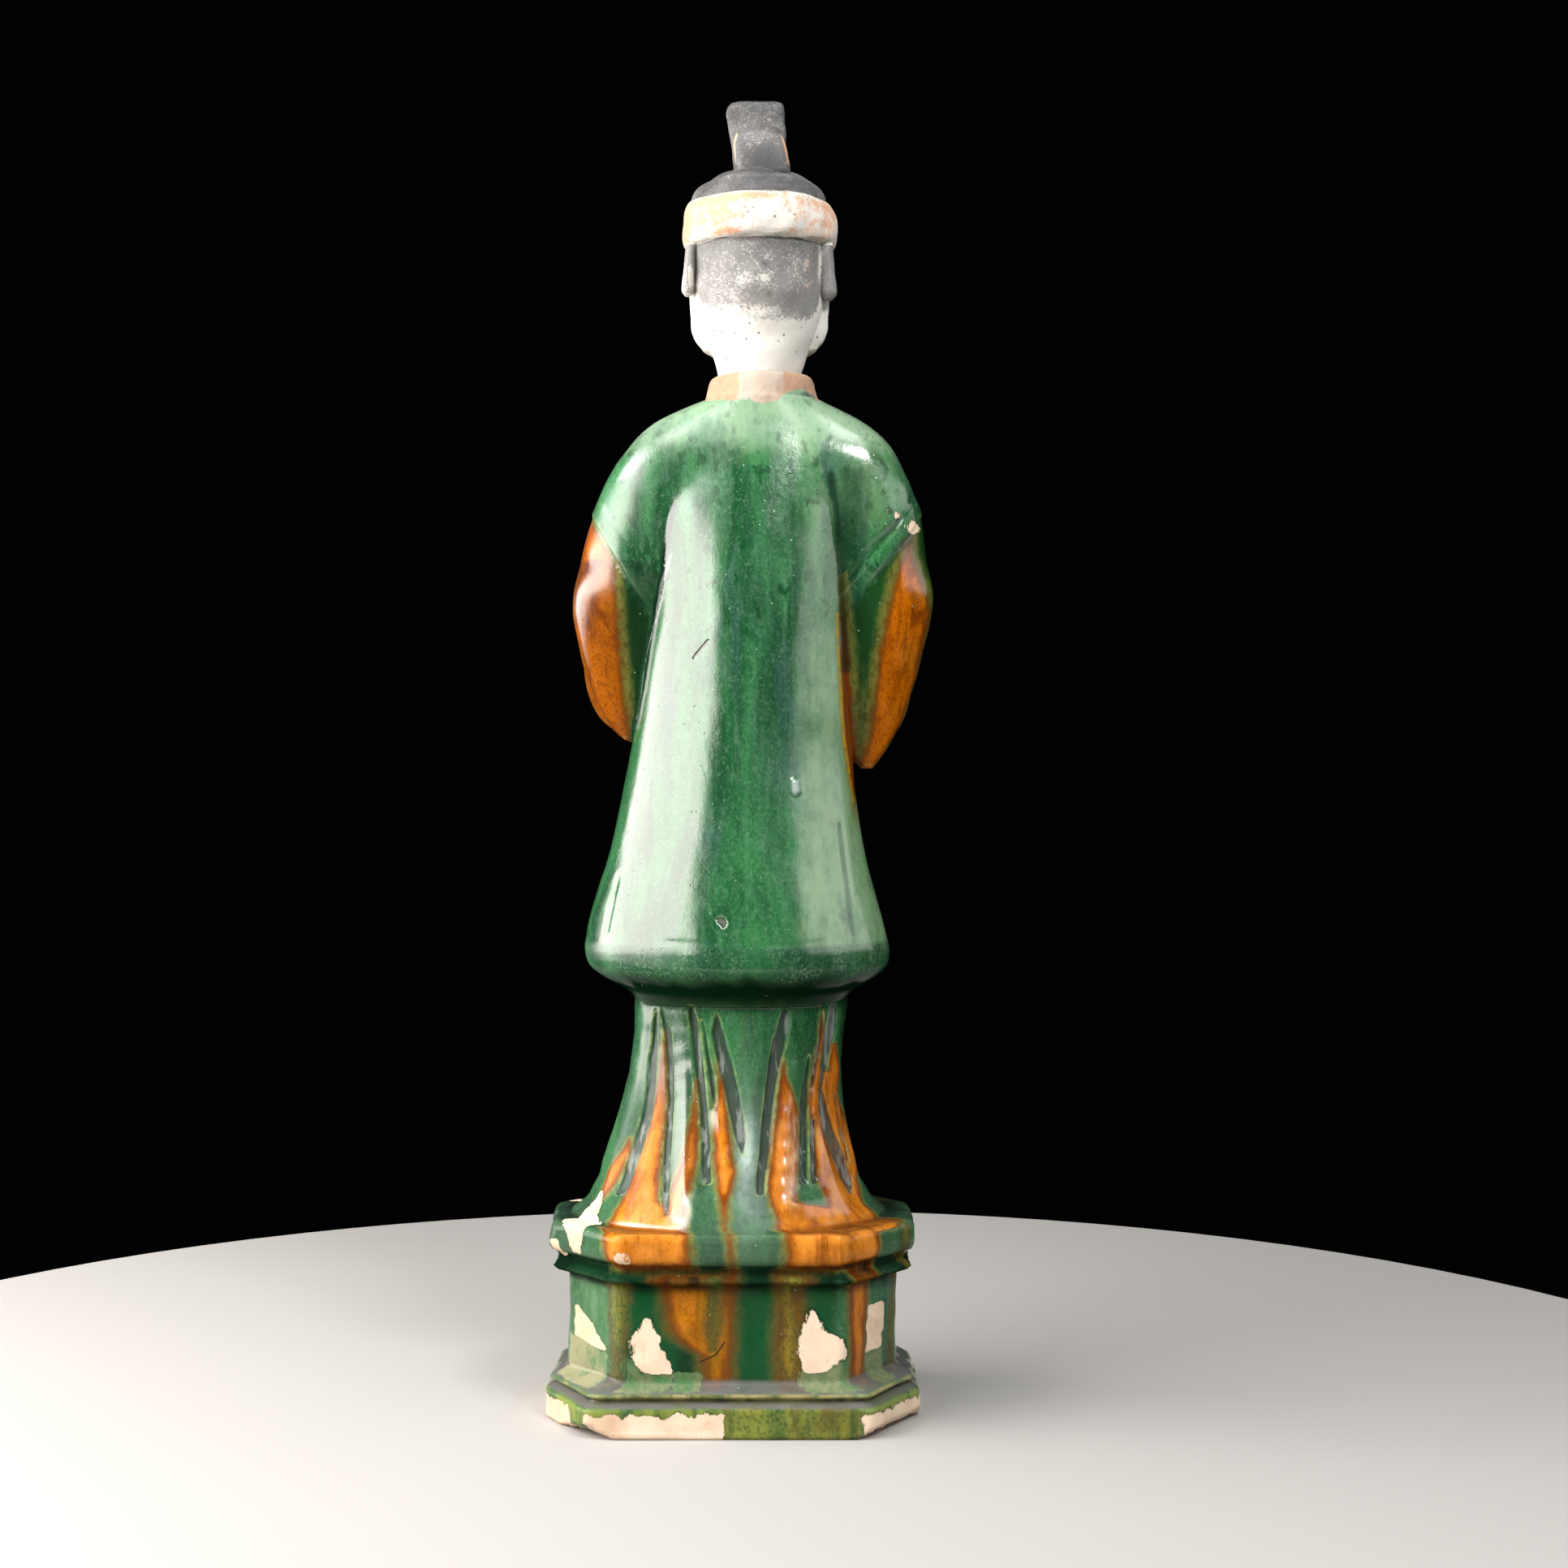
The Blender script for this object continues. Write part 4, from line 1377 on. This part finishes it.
head = fused("painted_head", [face, nape, plug, left_ear, right_ear, band, cap, tab, strap])
JAW_ROUNDS = 4  # of easing the joins of jaw, neck and ears
for _ in range(JAW_ROUNDS):
    points = vertices_of(head.data)
    near_jaw = (points[:, 2] < COLLAR_TOP + 52) & (points[:, 2] > COLLAR_TOP + 4) & (points[:, 1] > -8)
    pull = 0.7 * near_jaw * smooth(hollowness(head.data, 1), 0.05, 0.2)
    set_vertices(head.data, points + pull[:, None] * (neighbour_mean(head.data, points) - points))

points = vertices_of(head.data)
x, y, z = points.T
u, v = x - HEAD_MIDDLE[0], z - COLLAR_TOP
HAIR_EDGE = [
    (-38, 466), (-35.9, 458.1), (-34.4, 451.5), (-30.7, 447.3), (-25.9, 447), (-12.7, 445.9), (-1.4, 447.8),
    (8.1, 451.5), (12.8, 454.4), (15.2, 460), (17, 468),
]
hair_low = np.interp(x, *np.array(HAIR_EDGE).T)
hair = np.where(y > 3, z - hair_low, z - 463 - 1.1 * (3 - y))
ears = 1 - np.minimum(
    np.linalg.norm((points - [18.6, 4.4, 470]) / [5.2, 8, 13], axis=1),
    np.linalg.norm((points - [-39.4, 4.4, 469]) / [5.6, 8, 13.4], axis=1))
left_ear_paint = np.minimum(z - 459, 6 - 7.6 * mound(x, z, 17.4, 466, 1.5, 6.5, 2))
hair = np.where(ears > 0, np.where(u > 0, left_ear_paint, z - 452), hair)
covered = smooth(z, COLLAR_TOP + BAND_LOW - 0.5, COLLAR_TOP + BAND_LOW)
cloth = covered * (1 - smooth(z, COLLAR_TOP + BAND_HIGH - 0.7, COLLAR_TOP + BAND_HIGH - 0.2))
black = smooth(z, COLLAR_TOP + BAND_HIGH - 0.7, COLLAR_TOP + BAND_HIGH - 0.2)


def spread(*places):
    """The sum of mounds on the head; a place is across, up, half width, half height and how much."""
    return sum(much * mound(x, z, *place) for *place, much in places)


worn = (y > 0) * spread(
    (9, 464, 6, 8, 0.03), (2, 457, 8, 8, 0.11), (-4, 464, 24, 18, 0.09), (20.5, 466, 1.2, 8, 0.2),
    (-13, 462, 3.5, 3.0, 0.24), (-5, 461, 3, 3, 0.16), (-35.9, 470, 0.9, 8, 0.45), (-14, 449, 9, 3, 0.29),
    (0, 450, 8, 3, 0.27), (-28, 466, 5, 9, 0.16), (-12, 480, 14, 1.6, 0.20), (-11, 522, 7, 5, 0.10),
    (17.5, 462, 4, 5, 0.2),
)
rusty = spread((-29, 466, 5, 9, 0.30), (-7, 519, 5, 5, 0.12), (4, 479.6, 6, 1.2, 0.2))
dirty = spread(
    (-40, 488, 5, 9, 0.14), (-33, 485, 8, 6, 0.08), (-25, 490, 8, 6, 0.07), (20, 487, 3, 9, 0.22),
    (12, 494.5, 12, 2.2, 0.16), (-12, 494, 14, 2.4, 0.10), (3, 480.4, 6, 1.2, 0.24),
    (-24, 480.6, 12, 1.6, 0.12), (5, 488, 20, 7, 0.185), (10, 489, 9, 6, 0.07), (-36, 494, 8, 3, 0.14),
    (-6, 494.6, 20, 1.4, 0.12),
)
shade = most(
    (y > 5) * spread((-11.5, 507.6, 11, 1.2, 1), (-14, 513, 10, 7.5, 0.95)),
    0.52 * mound(x, z, -11, 500, 30, 5, 2) * (z < 506),
    spread((-13, 467.5, 2.6, 2.2, 0.6), (-15, 456, 2.4, 2.2, 0.5)),
)
strap_side = bell(x, np.interp(z, [510, 520, 525], [-23.4, -21.6, -19.8]), 1.1)
strap_side += bell(x, np.interp(z, [512, 520, 525], [-0.6, -0.2, -1.6]), 0.9)
strap_side *= between(z, 509, 513, 523, 526) * (y > 5)
side = np.abs(u)
in_front = y < -18
lids = np.abs(v - lid_line(side)) + 3 * np.maximum(0, np.abs(side - EYE) - 5.6)
brows = np.abs(v - brow_line(side)) + 3 * np.maximum(0, np.abs(side - 11) - 6.2)
ink = np.where(in_front, np.maximum(0.55 - lids, 0.6 - brows), -5)
lips = np.maximum(mound(side, v, 2.2, 21.3, 4.8, 1.5, 1.3), mound(u, v, 0, 18.0, 5.0, 1.6, 1.3))
lip_red = np.where(in_front, lips - 0.45, -1)
for name, values in {
    "hair": hair, "cloth": cloth, "black": black, "worn": worn, "rusty": rusty, "dirty": dirty,
    "shade": shade, "strap_side": strap_side, "ink": ink, "lip_red": lip_red,
    "hollow": hollowness(head.data, 3),
}.items():
    keep(head.data, name, values)
head.data.shade_smooth()

# The paints: dry white slip, chipped and specked with dark grains; black laid over it, worn back to grey and
# white where it has rubbed; iron stains on the band; and bare clay on the edges of the strap.
SLIP = (0.59, 0.57, 0.52, 1)
SLIP_SHADE = (0.47, 0.43, 0.37, 1)
BLACK_PAINT = (0.120, 0.116, 0.111, 1)
BLACK_DEEP = (0.042, 0.041, 0.041, 1)
GREY_RUB = (0.27, 0.26, 0.245, 1)
RUST = (0.52, 0.22, 0.09, 1)
STRAP_CLAY = (0.56, 0.32, 0.20, 1)
INK = (0.03, 0.025, 0.022, 1)
LIP_RED = (0.40, 0.13, 0.09, 1)


def cold_paint():
    """The whole finish of the head."""
    paint = Recipe("cold_paint")
    stored, noise, fade, sums, times = paint.stored, paint.noise, paint.fade, paint.sums, paint.times
    cloudy = noise(70, (1, 1, 1), 5, 0.6)
    middling = noise(240, (1, 1, 1), 5, 0.65)
    fine = noise(900, (1, 1, 1), 4, 0.7)
    dust = noise(1700, (1, 1, 1), 3, 0.75)
    few = fade(noise(140, (1, 1, 1), 2, 0.5), 0.40, 0.47)
    stain = paint.plus(stored("dirty"), paint.weighed((fine, 0.45), (middling, 0.55)))

    # Black: on hair, ears and cap but not on the band, and rubbed away in specks.
    edge = paint.plus(stored("hair"), times(sums("SUBTRACT", fine, 0.5), 9.0))
    painted = times(fade(edge, -0.5, 0.9), fade(stored("cloth"), 0.3, 0.7, 1, 0))
    painted = sums("MAXIMUM", painted, stored("black"))
    specks = paint.weighed((dust, 0.45), (middling, 0.25), (fine, 0.30))
    rubbed = fade(paint.plus(times(stored("worn"), 0.5), specks), 0.56, 0.68, 0, 0.9)
    painted = times(painted, sums("SUBTRACT", 1.0, rubbed))
    black = paint.over(
        paint.blend(fade(cloudy, 0.35, 0.7), BLACK_DEEP, BLACK_PAINT),
        (GREY_RUB, fade(fine, 0.45, 0.75, 0, 0.5)),
        (GREY_RUB, fade(stored("hair"), -8, 48, 0.75, 0)),
        (RUST, fade(paint.plus(stored("rusty"), middling), 0.75, 0.9, 0, 0.7)),
    )

    colour = paint.over(
        paint.blend(fade(cloudy, 0.5, 0.8, 0, 0.5), SLIP, SLIP_SHADE),
        (SLIP_SHADE, fade(stored("hollow"), 0.05, 0.5, 0, 0.5)),
        (BLACK_PAINT, fade(paint.cells(250.0), 0.18, 0.11), few, 0.8),
        (RUST, fade(stain, 0.55, 0.74), stored("cloth"), 0.8),
        (black, painted),
        (STRAP_CLAY, fade(stored("strap_side"), 0.3, 0.7)),
        (LIP_RED, fade(stored("lip_red"), 0.0, 0.2, 0, 0.65)),
        (INK, fade(stored("ink"), -0.15, 0.15, 0, 0.85)),
        (BLACK_DEEP, fade(stored("shade"), 0.15, 0.8, 0, 0.85)),
    )
    rough = fade(painted, 0, 1, 0.85, 0.62)
    relief = paint.weighed((middling, 0.8), (fine, 0.35))
    return paint.finish(base_color=colour, roughness=rough, normal=paint.bump(relief, 0.0006, 0.5))


head.data.materials.clear()
head.data.materials.append(cold_paint())
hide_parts("head")
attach(head, "root")
